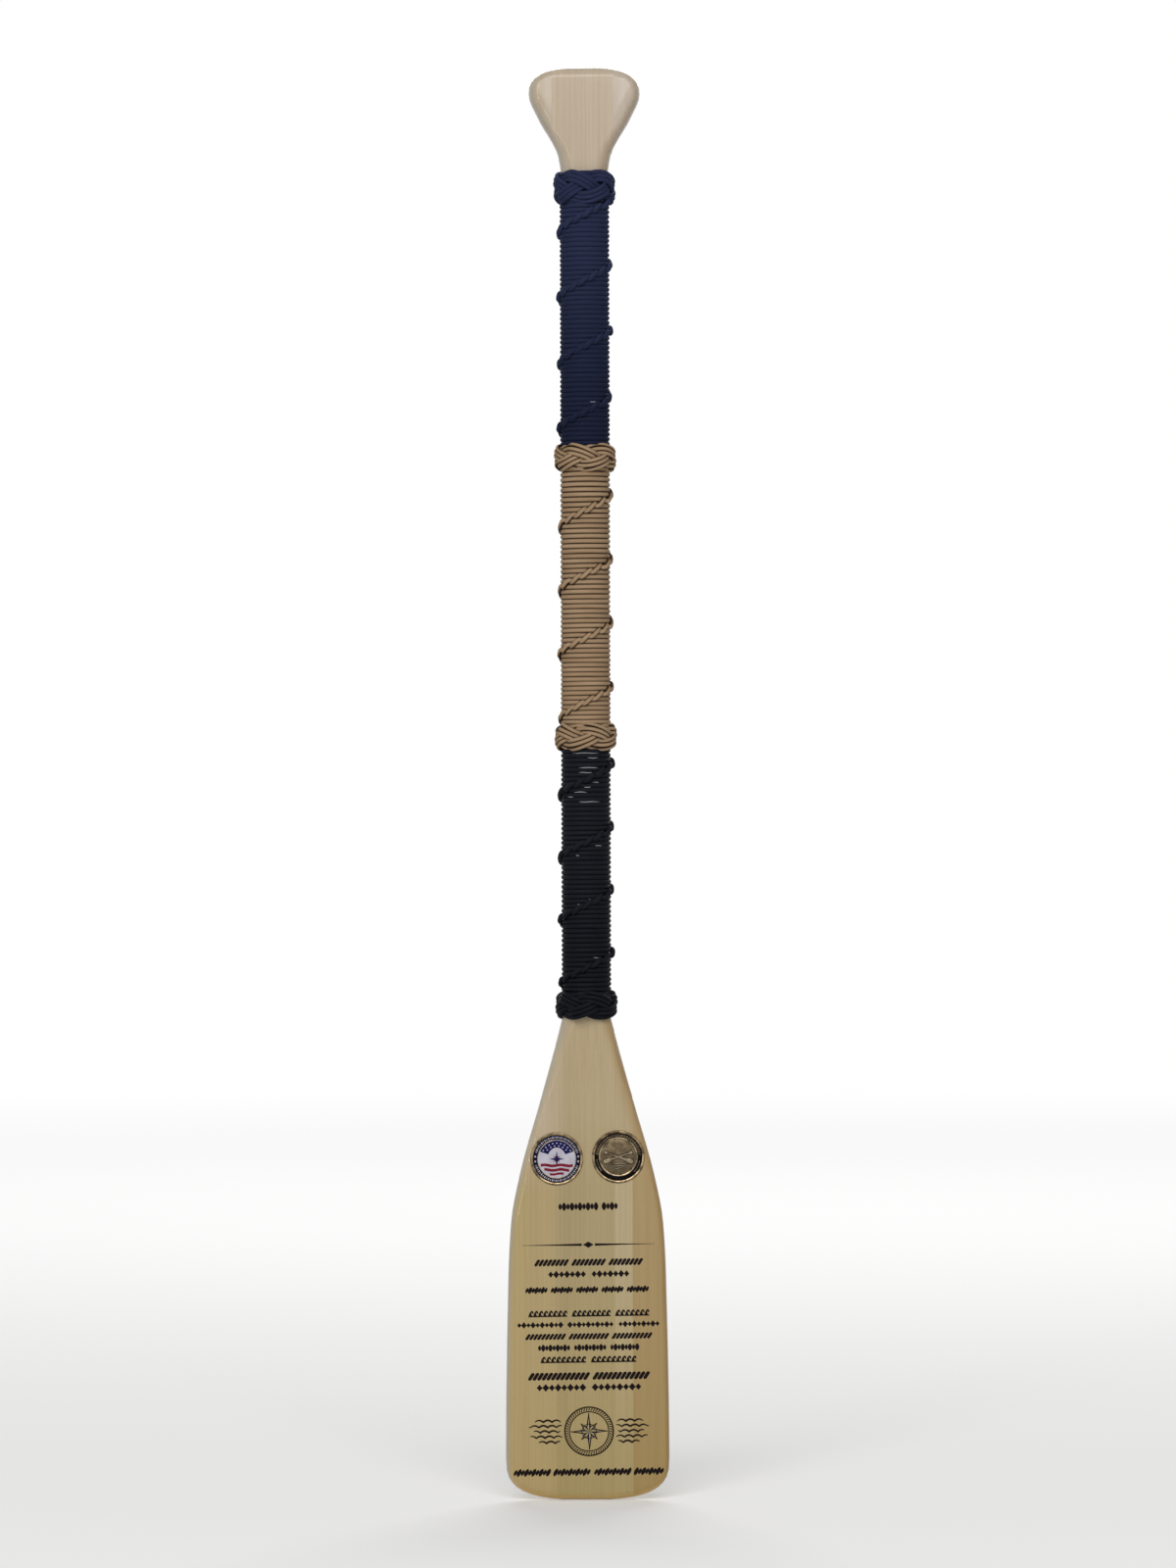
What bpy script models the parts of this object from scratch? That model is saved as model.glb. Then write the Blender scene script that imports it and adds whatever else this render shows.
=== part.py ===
"""Wooden canoe paddle made up as a presentation piece.

The wood is a flat blank of glued staves: a long centre stave, two strips on
each side of the blade and a cheek on each side of the palm grip. Its shaft is
bound with cord of three colours over cloth tape, and a braided Turk's head
knot covers each place where a binding starts or stops. Two struck coins lie in
round recesses in the blade.

Metres. +Z runs up the paddle from blade to grip, and the face with the coins
looks toward -Y, so +X is on the right of someone who looks at that face. The
origin is on the flat back of the blade. Left and right are the looker's.
"""

import math

import bmesh
import bpy
import numpy as np
from mathutils import Vector

# From the tip of the blade to the top of the grip
OVERALL_LENGTH = 1.2194

# Clearances
FIT = 0.0003  # between pieces that touch
ENAMEL_FIT = 0.0002  # round the thin enamel in a coin

# Blade, upward from its tip: the length of each stretch and the width where the stretch ends
TIP_LENGTH = 0.036
BLADE_WIDTH = 0.1392
BODY_LENGTH = 0.154
HIP_WIDTH = 0.1344
HIP_LENGTH = 0.046
SHOULDER_WIDTH = 0.1296
SHOULDER_LENGTH = 0.040
CHEST_WIDTH = 0.1150
CHEST_LENGTH = 0.064
WAIST_WIDTH = 0.0790
THROAT_LENGTH = 0.069
THROAT_WIDTH = 0.0420
TAPER_LENGTH = 0.024
TIP_SQUARENESS = 3.0  # 2 would make the tip half an ellipse

# Blade thickness: the faces are flat and parallel until this far above the chest
FACE_RISE = 0.042
BLADE_THICKNESS = 0.012
THROAT_THICKNESS = 0.0235
BLADE_EDGE = 0.006  # how far in the round edge reaches

# Shaft, an oval with a narrow flat down its front and back
SHAFT_WIDTH = 0.03175
SHAFT_THICKNESS = 0.027
SHAFT_FLAT = 0.004

# Grip, upward from the topmost knot: stretches and widths as on the blade
FLARE_LENGTH = 0.024
NECK_WIDTH = 0.0404
NECK_LENGTH = 0.0125
HOLLOW_WIDTH = 0.0446
HOLLOW_LENGTH = 0.0325
CHEEK_WIDTH = 0.0792
CHEEK_LENGTH = 0.020
GRIP_WIDTH = 0.0946
CROWN_LENGTH = 0.0234
CROWN_SQUARENESS = 2.8
GRIP_THICKNESS = 0.026
GRIP_EDGE = 0.008

# Glue joints: the centre stave's width and how far its middle is off the paddle's
STAVE_WIDTH = 0.0502
STAVE_OFFSET = -0.0015
LEFT_STRIP_WIDTH = 0.0234
RIGHT_STRIP_WIDTH = 0.0151

# Bindings, upward from the blade's throat; the tan wrap takes what the rest leave
BLACK_KNOT_LENGTH = 0.025
BLACK_WRAP_LENGTH = 0.203
LOWER_TAN_KNOT_LENGTH = 0.0245
UPPER_TAN_KNOT_LENGTH = 0.025
NAVY_WRAP_LENGTH = 0.202
NAVY_KNOT_LENGTH = 0.030

# Cloth tape on the wood under the cord, which keeps the cord from slipping
TAPE_THICKNESS = 0.0009
TAPE_STEP = 0.008  # how far from each knot the sleeve may still follow a flare in the wood

# Wound cord: each turn is a half hitch, and the hitches climb the shaft as a spiral ridge
CORD_DIAMETER = 0.0037
TURN_PITCH = 0.0082  # the least; the turns spread out to fill their wrap
RIDGE_PITCH = 0.054
HITCH_RISE = 0.0022
CORD_BEND = 0.7  # room, in diameters, in which an end turns up into its knot
POINTS_A_HITCH = 12

# Turk's head knots: a ring with five bights along each edge
KNOT_THICKNESS = 0.0105
KNOT_SEAT = 0.0066  # flat part of each end, which the wound cord's end meets
KNOT_BIGHTS = 5
BIGHT_DEPTH = 0.0035

# Coins
COIN_DIAMETER = 0.04445
COIN_THICKNESS = 0.003
COIN_PROUD = 0.001  # how far a coin stands out of the blade
COIN_RIM = 0.0021
COIN_BAND = 0.0034  # the enamelled band inside the rim
COIN_DIVIDER = 0.0006  # the raised line inside the band
ENAMEL_DEPTH = 0.0008
ENAMEL_THICKNESS = 0.0005
ADHESIVE_THICKNESS = 0.0005
ADHESIVE_MARGIN = 0.002
LEFT_COIN_X = -0.0257
LEFT_COIN_RISE = 0.0144  # above the blade's chest
RIGHT_COIN_X = 0.0267
RIGHT_COIN_RISE = 0.0161

# Origin: its height on the back of the blade
ORIGIN_HEIGHT = 0.165

# Fineness of the curved shapes
CORNER_STEPS = 10
EDGE_STEPS = 4
COIN_SEGMENTS = 48
KNOT_SEGMENTS = 40
CORD_BEVEL_STEPS = 1

# Finishes: colour, roughness, metallic
BASSWOOD = ((0.49, 0.38, 0.21), 0.28, 0.0)
PALE_BASSWOOD = ((0.55, 0.44, 0.27), 0.28, 0.0)
WARM_BASSWOOD = ((0.45, 0.33, 0.16), 0.28, 0.0)
GRIP_BASSWOOD = ((0.55, 0.45, 0.32), 0.28, 0.0)
NAVY_CORD = ((0.013, 0.018, 0.055), 0.75, 0.0)
TAN_CORD = ((0.38, 0.26, 0.16), 0.8, 0.0)
BLACK_CORD = ((0.008, 0.009, 0.014), 0.6, 0.0)
GOLD = ((0.62, 0.42, 0.17), 0.28, 1.0)
ANTIQUE_GOLD = ((0.40, 0.29, 0.15), 0.35, 1.0)
NAVY_ENAMEL = ((0.01, 0.01, 0.06), 0.15, 0.0)
WHITE_ENAMEL = ((0.72, 0.72, 0.76), 0.15, 0.0)
BLACK_ENAMEL = ((0.006, 0.006, 0.008), 0.12, 0.0)
EPOXY = ((0.55, 0.50, 0.38), 0.4, 0.0)
NAVY_TAPE = ((0.010, 0.014, 0.042), 0.9, 0.0)
TAN_TAPE = ((0.27, 0.18, 0.11), 0.9, 0.0)
BLACK_TAPE = ((0.006, 0.007, 0.011), 0.9, 0.0)

# Heights that the lengths above add up to, from the tip
HIP = TIP_LENGTH + BODY_LENGTH
SHOULDER = HIP + HIP_LENGTH
CHEST = SHOULDER + SHOULDER_LENGTH
WAIST = CHEST + CHEST_LENGTH
THROAT = WAIST + THROAT_LENGTH
BELLY = OVERALL_LENGTH - CROWN_LENGTH
CHEEK = BELLY - CHEEK_LENGTH
HOLLOW = CHEEK - HOLLOW_LENGTH
GRIP_FOOT = HOLLOW - NECK_LENGTH
FACE_TOP = CHEST + FACE_RISE
LEFT_COIN_HEIGHT = CHEST + LEFT_COIN_RISE
RIGHT_COIN_HEIGHT = CHEST + RIGHT_COIN_RISE

# Where each binding ends, from the tip
BLACK_KNOT_TOP = THROAT + BLACK_KNOT_LENGTH
BLACK_WRAP_TOP = BLACK_KNOT_TOP + BLACK_WRAP_LENGTH
LOWER_TAN_KNOT_TOP = BLACK_WRAP_TOP + LOWER_TAN_KNOT_LENGTH
NAVY_WRAP_TOP = GRIP_FOOT - NAVY_KNOT_LENGTH
UPPER_TAN_KNOT_TOP = NAVY_WRAP_TOP - NAVY_WRAP_LENGTH
TAN_WRAP_TOP = UPPER_TAN_KNOT_TOP - UPPER_TAN_KNOT_LENGTH


def clear_scene():
    for thing in list(bpy.data.objects):
        bpy.data.objects.remove(thing, do_unlink=True)


def smooth_curve(stations):
    """A function through (place, value) pairs that is level at both ends and never overshoots."""
    places = [place for place, _ in stations]
    values = [value for _, value in stations]
    rises = [
        (values[i + 1] - values[i]) / (places[i + 1] - places[i])
        for i in range(len(stations) - 1)
    ]
    slopes = [0.0]
    for before, after in zip(rises, rises[1:]):
        same_way = before * after > 0
        slopes.append(2 * before * after / (before + after) if same_way else 0.0)
    slopes.append(0.0)

    def value_at(place):
        if place <= places[0]:
            return values[0]
        if place >= places[-1]:
            return values[-1]
        i = max(k for k in range(len(places) - 1) if places[k] <= place)
        span = places[i + 1] - places[i]
        u = (place - places[i]) / span
        start = values[i] * (1 + 2 * u) * (1 - u) ** 2
        end = values[i + 1] * u**2 * (3 - 2 * u)
        lean = slopes[i] * u * (1 - u) ** 2 - slopes[i + 1] * u**2 * (1 - u)
        return start + end + span * lean

    return value_at


width_at = smooth_curve(
    (
        (TIP_LENGTH, BLADE_WIDTH),
        (HIP, HIP_WIDTH),
        (SHOULDER, SHOULDER_WIDTH),
        (CHEST, CHEST_WIDTH),
        (WAIST, WAIST_WIDTH),
        (THROAT, THROAT_WIDTH),
        (THROAT + TAPER_LENGTH, SHAFT_WIDTH),
        (GRIP_FOOT - FLARE_LENGTH, SHAFT_WIDTH),
        (GRIP_FOOT, NECK_WIDTH),
        (HOLLOW, HOLLOW_WIDTH),
        (CHEEK, CHEEK_WIDTH),
        (BELLY, GRIP_WIDTH),
    )
)
thickness_at = smooth_curve(
    (
        (FACE_TOP, BLADE_THICKNESS),
        (THROAT, THROAT_THICKNESS),
        (THROAT + TAPER_LENGTH, SHAFT_THICKNESS),
        (GRIP_FOOT - FLARE_LENGTH, SHAFT_THICKNESS),
        (CHEEK, GRIP_THICKNESS),
    )
)
edge_at = smooth_curve(
    (
        (FACE_TOP, BLADE_EDGE),
        (THROAT + TAPER_LENGTH, (SHAFT_WIDTH - SHAFT_FLAT) / 2),
        (GRIP_FOOT - FLARE_LENGTH, (SHAFT_WIDTH - SHAFT_FLAT) / 2),
        (CHEEK, GRIP_EDGE),
    )
)


def finish(name, look):
    """The Principled material of one piece."""
    colour, roughness, metallic = look
    material = bpy.data.materials.new(name)
    material.use_nodes = True
    shader = material.node_tree.nodes["Principled BSDF"]
    shader.inputs["Base Color"].default_value = (*colour, 1.0)
    shader.inputs["Roughness"].default_value = roughness
    shader.inputs["Metallic"].default_value = metallic
    return material


def place(name, data, look, frame, location=(0, 0, 0), rotation=(0, 0, 0)):
    """Puts a piece in the scene under the paddle's frame."""
    data.materials.append(finish(name, look))
    piece = bpy.data.objects.new(name, data)
    bpy.context.collection.objects.link(piece)
    piece.parent = frame
    piece.location = location
    piece.rotation_euler = rotation
    return piece


def mesh_of(name, shape):
    """The mesh of a bmesh, smooth but for its true corners."""
    bmesh.ops.recalc_face_normals(shape, faces=shape.faces)
    mesh = bpy.data.meshes.new(name)
    shape.to_mesh(mesh)
    shape.free()
    mesh.shade_smooth()
    mesh.set_sharp_from_angle(angle=math.radians(35))
    return mesh


def joined_rings(rings, closed):
    """A bmesh that joins each ring of points to the next, and the last to the first or to flat ends."""
    shape = bmesh.new()
    loops = [[shape.verts.new(point) for point in ring] for ring in rings]
    pairs = list(zip(loops, loops[1:]))
    if closed:
        pairs.append((loops[-1], loops[0]))
    else:
        shape.faces.new(loops[0])
        shape.faces.new(loops[-1])
    for low, high in pairs:
        for i in range(len(low)):
            j = (i + 1) % len(low)
            shape.faces.new((low[i], low[j], high[j], high[i]))
    return shape


# The wooden blank


def corner(width, length, squareness):
    """A quarter of a squared oval, from beside its tip to its widest place, as (half width, height)."""
    points = []
    for step in range(1, CORNER_STEPS + 1):
        angle = math.pi / 2 * step / CORNER_STEPS
        across = math.sin(angle) ** (2 / squareness)
        down = max(math.cos(angle), 0.0) ** (2 / squareness)
        points.append((width / 2 * across, length * (1 - down)))
    return points


def half_outline():
    """The right half of the blank's outline, from beside the tip to beside the top of the grip."""
    stretches = (
        (TIP_LENGTH, HIP, 3),
        (HIP, SHOULDER, 4),
        (SHOULDER, CHEST, 4),
        (CHEST, WAIST, 5),
        (WAIST, THROAT, 5),
        (THROAT, THROAT + TAPER_LENGTH, 4),
        (THROAT + TAPER_LENGTH, GRIP_FOOT - FLARE_LENGTH, 2),
        (GRIP_FOOT - FLARE_LENGTH, GRIP_FOOT, 4),
        (GRIP_FOOT, HOLLOW, 2),
        (HOLLOW, CHEEK, 6),
        (CHEEK, BELLY, 4),
    )
    points = corner(BLADE_WIDTH, TIP_LENGTH, TIP_SQUARENESS)
    for low, high, steps in stretches:
        for step in range(1, steps + 1):
            height = low + (high - low) * step / steps
            points.append((width_at(height) / 2, height))
    crown = corner(GRIP_WIDTH, CROWN_LENGTH, CROWN_SQUARENESS)
    points += [(across, OVERALL_LENGTH - down) for across, down in reversed(crown[:-1])]
    return [Vector(point) for point in points]


def outward(points):
    """The outline's outward direction at each of its points."""
    before = [Vector((-points[0].x, points[0].y))] + points[:-1]
    after = points[1:] + [Vector((-points[-1].x, points[-1].y))]
    directions = []
    for last, here, following in zip(before, points, after):
        along = (here - last).normalized() + (following - here).normalized()
        directions.append(Vector((along.y, -along.x)).normalized())
    return directions


def half_section(point, direction):
    """A quarter of the round edge at an outline point, from the outline in to the flat, as (x, y, z)."""
    reach = edge_at(point.y)
    quarter = []
    for step in range(EDGE_STEPS + 1):
        angle = math.pi / 2 * step / EDGE_STEPS
        inner = point - direction * reach * (1 - math.cos(angle))
        depth = thickness_at(inner.y) / 2 * math.sin(angle)
        quarter.append((inner.x, depth, inner.y))
    return quarter


def blank():
    """A bmesh of the whole piece of wood before it is divided into its staves."""
    points = half_outline()
    shape = bmesh.new()
    loops = []
    for point, direction in zip(points, outward(points)):
        quarter = half_section(point, direction)
        front = [(x, -y, z) for x, y, z in quarter]
        front += [(-x, y, z) for x, y, z in reversed(front)]
        back = [(-x, y, z) for x, y, z in quarter[1:]]
        back += [(-x, y, z) for x, y, z in reversed(back)]
        loops.append([shape.verts.new(corner_point) for corner_point in front + back])
    for low, high in zip(loops, loops[1:]):
        for i in range(len(low)):
            j = (i + 1) % len(low)
            shape.faces.new((low[i], low[j], high[j], high[i]))
    for end in (loops[0], loops[-1]):
        front_row = end[: 2 * EDGE_STEPS + 2]
        back_row = [end[0]] + end[:-(2 * EDGE_STEPS) - 1 : -1] + [front_row[-1]]
        for row in (front_row, back_row):
            for k in range(EDGE_STEPS):
                shape.faces.new((row[k], row[k + 1], row[-k - 2], row[-k - 1]))
    bmesh.ops.recalc_face_normals(shape, faces=shape.faces)
    return shape


def cut_off(shape, point, normal):
    """Removes what lies beyond a plane, on its normal's side, and closes the cut."""
    everything = shape.verts[:] + shape.edges[:] + shape.faces[:]
    bmesh.ops.bisect_plane(
        shape, geom=everything, plane_co=point, plane_no=normal, clear_outer=True
    )
    rim = [edge for edge in shape.edges if edge.is_boundary]
    bmesh.ops.holes_fill(shape, edges=rim)


def stave(name, look, frame, left=None, right=None, low=None, high=None):
    """The part of the blank between glue joints at left and right, and between two heights."""
    shape = blank()
    if left is not None:
        cut_off(shape, (left + FIT / 2, 0, 0), (-1, 0, 0))
    if right is not None:
        cut_off(shape, (right - FIT / 2, 0, 0), (1, 0, 0))
    if low is not None:
        cut_off(shape, (0, 0, low), (0, 0, -1))
    if high is not None:
        cut_off(shape, (0, 0, high), (0, 0, 1))
    return place(name, mesh_of(name, shape), look, frame)


def recess_depth():
    return COIN_THICKNESS - COIN_PROUD + ADHESIVE_THICKNESS + 2 * FIT


def recess_cutter(name, x, height, frame):
    """A cylinder that cuts a coin's recess into the face of the blade."""
    shape = bmesh.new()
    bmesh.ops.create_cone(
        shape,
        cap_ends=True,
        segments=COIN_SEGMENTS,
        radius1=COIN_DIAMETER / 2 + FIT,
        radius2=COIN_DIAMETER / 2 + FIT,
        depth=2 * recess_depth(),
    )
    mesh = bpy.data.meshes.new(name)
    shape.to_mesh(mesh)
    shape.free()
    cutter = bpy.data.objects.new(name, mesh)
    bpy.context.collection.objects.link(cutter)
    cutter.parent = frame
    cutter.location = (x, -BLADE_THICKNESS / 2, height)
    cutter.rotation_euler = (math.pi / 2, 0, 0)
    cutter.hide_render = True
    cutter.display_type = "WIRE"
    return cutter


def cut_recess(piece, cutter):
    cut = piece.modifiers.new(cutter.name, "BOOLEAN")
    cut.operation = "DIFFERENCE"
    cut.solver = "EXACT"
    cut.object = cutter


def build_wood(frame):
    left_joint = STAVE_OFFSET - STAVE_WIDTH / 2
    right_joint = STAVE_OFFSET + STAVE_WIDTH / 2
    outer_left = left_joint - LEFT_STRIP_WIDTH
    outer_right = right_joint + RIGHT_STRIP_WIDTH
    mid = (THROAT + GRIP_FOOT) / 2
    centre = stave("centre_stave", BASSWOOD, frame, left_joint, right_joint)
    left_inner = stave(
        "blade_strip_left_inner", BASSWOOD, frame, outer_left, left_joint, None, mid
    )
    stave("blade_strip_left_outer", PALE_BASSWOOD, frame, None, outer_left, None, mid)
    right_inner = stave(
        "blade_strip_right_inner", PALE_BASSWOOD, frame, right_joint, outer_right, None, mid
    )
    right_outer = stave(
        "blade_strip_right_outer", WARM_BASSWOOD, frame, outer_right, None, None, mid
    )
    stave("grip_cheek_left", GRIP_BASSWOOD, frame, None, left_joint, mid, None)
    stave("grip_cheek_right", GRIP_BASSWOOD, frame, right_joint, None, mid, None)
    left_cutter = recess_cutter("left_recess", LEFT_COIN_X, LEFT_COIN_HEIGHT, frame)
    right_cutter = recess_cutter("right_recess", RIGHT_COIN_X, RIGHT_COIN_HEIGHT, frame)
    for piece in (centre, left_inner):
        cut_recess(piece, left_cutter)
    for piece in (centre, right_inner, right_outer):
        cut_recess(piece, right_cutter)


# Coins


def turned(name, profile, closed, look, frame, x, height, base):
    """A round solid about a coin's axis from (radius, height above base) pairs, facing -Y."""
    angles = [2 * math.pi * i / COIN_SEGMENTS for i in range(COIN_SEGMENTS)]
    rings = [
        [(radius * math.cos(a), radius * math.sin(a), base + rise) for a in angles]
        for radius, rise in profile
    ]
    mesh = mesh_of(name, joined_rings(rings, closed))
    surface = -BLADE_THICKNESS / 2
    return place(name, mesh, look, frame, (x, surface, height), (math.pi / 2, 0, 0))


def build_coin(side, look, band_look, centre_look, frame, x, height):
    """A struck coin with its enamel and the pad of adhesive under it."""
    radius = COIN_DIAMETER / 2
    band_outer = radius - COIN_RIM
    band_inner = band_outer - COIN_BAND
    centre = band_inner - COIN_DIVIDER
    floor = COIN_THICKNESS - ENAMEL_DEPTH
    back = COIN_PROUD - COIN_THICKNESS
    profile = [
        (radius, 0.0),
        (radius, COIN_THICKNESS),
        (band_outer, COIN_THICKNESS),
        (band_outer, floor),
        (band_inner, floor),
        (band_inner, COIN_THICKNESS),
        (centre, COIN_THICKNESS),
        (centre, floor),
    ]
    turned(f"{side}_coin", profile, False, look, frame, x, height, back)
    bed = floor + ENAMEL_FIT
    face = bed + ENAMEL_THICKNESS
    band = [
        (band_outer - ENAMEL_FIT, bed),
        (band_outer - ENAMEL_FIT, face),
        (band_inner + ENAMEL_FIT, face),
        (band_inner + ENAMEL_FIT, bed),
    ]
    turned(f"{side}_coin_band_enamel", band, True, band_look, frame, x, height, back)
    if centre_look:
        disc = [(centre - ENAMEL_FIT, bed), (centre - ENAMEL_FIT, face)]
        turned(
            f"{side}_coin_centre_enamel", disc, False, centre_look, frame, x, height, back
        )
    pad_top = back - FIT
    pad = [
        (radius - ADHESIVE_MARGIN, -ADHESIVE_THICKNESS),
        (radius - ADHESIVE_MARGIN, 0.0),
    ]
    turned(f"{side}_coin_adhesive", pad, False, EPOXY, frame, x, height, pad_top)


# Bindings


def around_wood(angle, height, offset, section_height=None):
    """A point at a height and an angle from +X, offset from the wood's section there or elsewhere."""
    section_height = height if section_height is None else section_height
    reach = edge_at(section_height)
    flat = width_at(section_height) / 2 - reach
    across = math.cos(angle)
    x = math.copysign(flat, across) + (reach + offset) * across
    y = (thickness_at(section_height) / 2 + offset) * math.sin(angle)
    return Vector((x, y, height))


def ring_angles():
    """Angles round the shaft that miss its flats' middles."""
    turn = 2 * math.pi / KNOT_SEGMENTS
    return [turn * (i + 0.5) for i in range(KNOT_SEGMENTS)]


def knot_section(low, high, top_valley, angle):
    """The knot's closed section at an angle: a bore that follows the wood and an outside that doesn't."""
    middle = (low + high) / 2
    half = (high - low - FIT) / 2
    wave = math.cos(KNOT_BIGHTS * (angle - top_valley))
    top_drop = BIGHT_DEPTH * (1 + wave) / 2
    bottom_drop = BIGHT_DEPTH * (1 - wave) / 2
    shaft = THROAT + TAPER_LENGTH
    bore_heights = (middle - half, middle, middle + half)
    outside = (
        (KNOT_SEAT, middle + half),
        (0.8 * KNOT_THICKNESS, middle + half - top_drop),
        (KNOT_THICKNESS, middle + 0.45 * half),
        (KNOT_THICKNESS, middle - 0.45 * half),
        (0.8 * KNOT_THICKNESS, middle - half + bottom_drop),
        (KNOT_SEAT, middle - half),
    )
    section = [around_wood(angle, height, FIT) for height in bore_heights]
    section += [around_wood(angle, height, offset, shaft) for offset, height in outside]
    return section


def build_knot(name, look, frame, low, high, top_valley):
    """A Turk's head as a solid ring; top_valley is an angle where two upper bights meet."""
    rings = [knot_section(low, high, top_valley, angle) for angle in ring_angles()]
    place(name, mesh_of(name, joined_rings(rings, True)), look, frame)


def build_tape(name, look, frame, low, high):
    """The sleeve of tape between two knots, which follows the wood."""
    low += FIT
    high -= FIT
    outside = FIT + TAPE_THICKNESS
    heights = (low, low + TAPE_STEP, high - TAPE_STEP, high)
    rings = [[around_wood(a, height, FIT) for a in ring_angles()] for height in heights]
    for height in reversed(heights):
        rings.append([around_wood(a, height, outside) for a in ring_angles()])
    place(name, mesh_of(name, joined_rings(rings, True)), look, frame)


def wrap_path(low, high):
    """The middle of the wound cord between two knots, as points."""
    radius = CORD_DIAMETER / 2
    end_run = CORD_DIAMETER
    bend = CORD_BEND * CORD_DIAMETER
    bottom = low + FIT + end_run + bend
    wound = high - FIT - end_run - bend - bottom
    turns = int(wound / TURN_PITCH)
    rise = wound / turns
    hitch_turn = 2 * math.pi / (1 - rise / RIDGE_PITCH)
    step = hitch_turn / POINTS_A_HITCH
    count = int(2 * math.pi * turns / step)
    chord = 1 / math.cos(step / 2)
    path = []
    for i in range(count + 1):
        angle = step * i
        height = bottom + rise * angle / (2 * math.pi)
        hitch = HITCH_RISE if i % POINTS_A_HITCH == POINTS_A_HITCH // 2 else 0.0
        inside = 2 * FIT + TAPE_THICKNESS + radius
        slack = (width_at(height) / 2 + inside) * (chord - 1)
        path.append(around_wood(angle, height, inside + slack + hitch))
    foot, head = path[0], path[-1]
    top = high - FIT
    start = [Vector((foot.x, foot.y, low + FIT + part)) for part in (0.0, end_run)]
    end = [Vector((head.x, head.y, top - part)) for part in (end_run, 0.0)]
    return start + path + end


def least_gap(path):
    """The least distance between loops of the cord, less its diameter."""
    corners = np.array([tuple(point) for point in path])
    middles = (corners[1:] + corners[:-1]) / 2
    points = np.empty((len(corners) + len(middles), 3))
    points[0::2] = corners
    points[1::2] = middles
    order = np.arange(len(points))
    apart = np.abs(order[:, None] - order[None, :]) > POINTS_A_HITCH
    distances = np.linalg.norm(points[:, None] - points[None, :], axis=2)
    return float(distances[apart].min()) - CORD_DIAMETER


def build_wrap(name, look, frame, low, high):
    """A half-hitched winding as one unbroken cord."""
    path = wrap_path(low, high)
    print(f"{name}: least gap between loops {1000 * least_gap(path):.2f} mm")
    curve = bpy.data.curves.new(name, "CURVE")
    curve.dimensions = "3D"
    curve.bevel_depth = CORD_DIAMETER / 2
    curve.bevel_resolution = CORD_BEVEL_STEPS
    curve.use_fill_caps = True
    spline = curve.splines.new("POLY")
    spline.points.add(len(path) - 1)
    for point, spot in zip(spline.points, path):
        point.co = (*spot, 1.0)
    place(name, curve, look, frame)


def build_bindings(frame):
    """The knots, and the tape and wound cord between them."""
    front = -math.pi / 2
    between = front + math.pi / KNOT_BIGHTS
    knots = (
        ("black_turks_head", BLACK_CORD, THROAT, BLACK_KNOT_TOP, between),
        ("tan_turks_head_lower", TAN_CORD, BLACK_WRAP_TOP, LOWER_TAN_KNOT_TOP, between),
        ("tan_turks_head_upper", TAN_CORD, TAN_WRAP_TOP, UPPER_TAN_KNOT_TOP, front),
        ("navy_turks_head", NAVY_CORD, NAVY_WRAP_TOP, GRIP_FOOT, front),
    )
    for name, look, low, high, top_valley in knots:
        build_knot(name, look, frame, low, high, top_valley)
    wraps = (
        ("black", BLACK_CORD, BLACK_TAPE, BLACK_KNOT_TOP, BLACK_WRAP_TOP),
        ("tan", TAN_CORD, TAN_TAPE, LOWER_TAN_KNOT_TOP, TAN_WRAP_TOP),
        ("navy", NAVY_CORD, NAVY_TAPE, UPPER_TAN_KNOT_TOP, NAVY_WRAP_TOP),
    )
    for colour, cord, tape, low, high in wraps:
        build_tape(f"{colour}_tape", tape, frame, low, high)
        build_wrap(f"{colour}_wrap", cord, frame, low, high)


def main():
    clear_scene()
    frame = bpy.data.objects.new("paddle_frame", None)
    bpy.context.collection.objects.link(frame)
    frame.location = (0, -BLADE_THICKNESS / 2, -ORIGIN_HEIGHT)
    build_wood(frame)
    build_coin(
        "left", GOLD, NAVY_ENAMEL, WHITE_ENAMEL, frame, LEFT_COIN_X, LEFT_COIN_HEIGHT
    )
    build_coin(
        "right", ANTIQUE_GOLD, BLACK_ENAMEL, None, frame, RIGHT_COIN_X, RIGHT_COIN_HEIGHT
    )
    build_bindings(frame)


main()
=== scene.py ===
"""Looks of the wooden presentation paddle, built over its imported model.

The wood keeps the shapes of the CAD staves, joined without gaps and varnished. The cords are
wound and braided along their real paths, the coins are struck afresh, and the blade's print is
a set of thin ink shapes. Metres, in the model's own frame: +Z runs up the paddle, the face with
the coins looks toward -Y, and left and right are those of someone who looks at that face.
"""

import logging
import math
from collections.abc import Iterable, Sequence
from dataclasses import dataclass, field
from enum import Enum

import bmesh
import bpy
import numpy as np
from mathutils import Matrix, Vector
from mathutils.kdtree import KDTree


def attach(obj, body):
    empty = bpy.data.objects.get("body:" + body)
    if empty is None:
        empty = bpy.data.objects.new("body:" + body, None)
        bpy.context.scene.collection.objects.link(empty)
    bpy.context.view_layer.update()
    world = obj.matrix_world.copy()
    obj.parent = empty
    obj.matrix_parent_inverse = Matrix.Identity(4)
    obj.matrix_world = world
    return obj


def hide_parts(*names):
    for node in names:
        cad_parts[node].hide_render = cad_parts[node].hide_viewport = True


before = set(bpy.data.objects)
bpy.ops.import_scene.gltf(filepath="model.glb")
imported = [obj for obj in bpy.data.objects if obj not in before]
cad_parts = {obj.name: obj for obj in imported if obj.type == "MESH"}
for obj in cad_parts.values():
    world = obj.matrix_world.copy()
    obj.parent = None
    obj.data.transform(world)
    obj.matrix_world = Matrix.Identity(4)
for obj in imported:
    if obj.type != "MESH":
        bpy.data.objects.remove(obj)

LOG = logging.getLogger("paddle")
MM = 0.001
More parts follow.
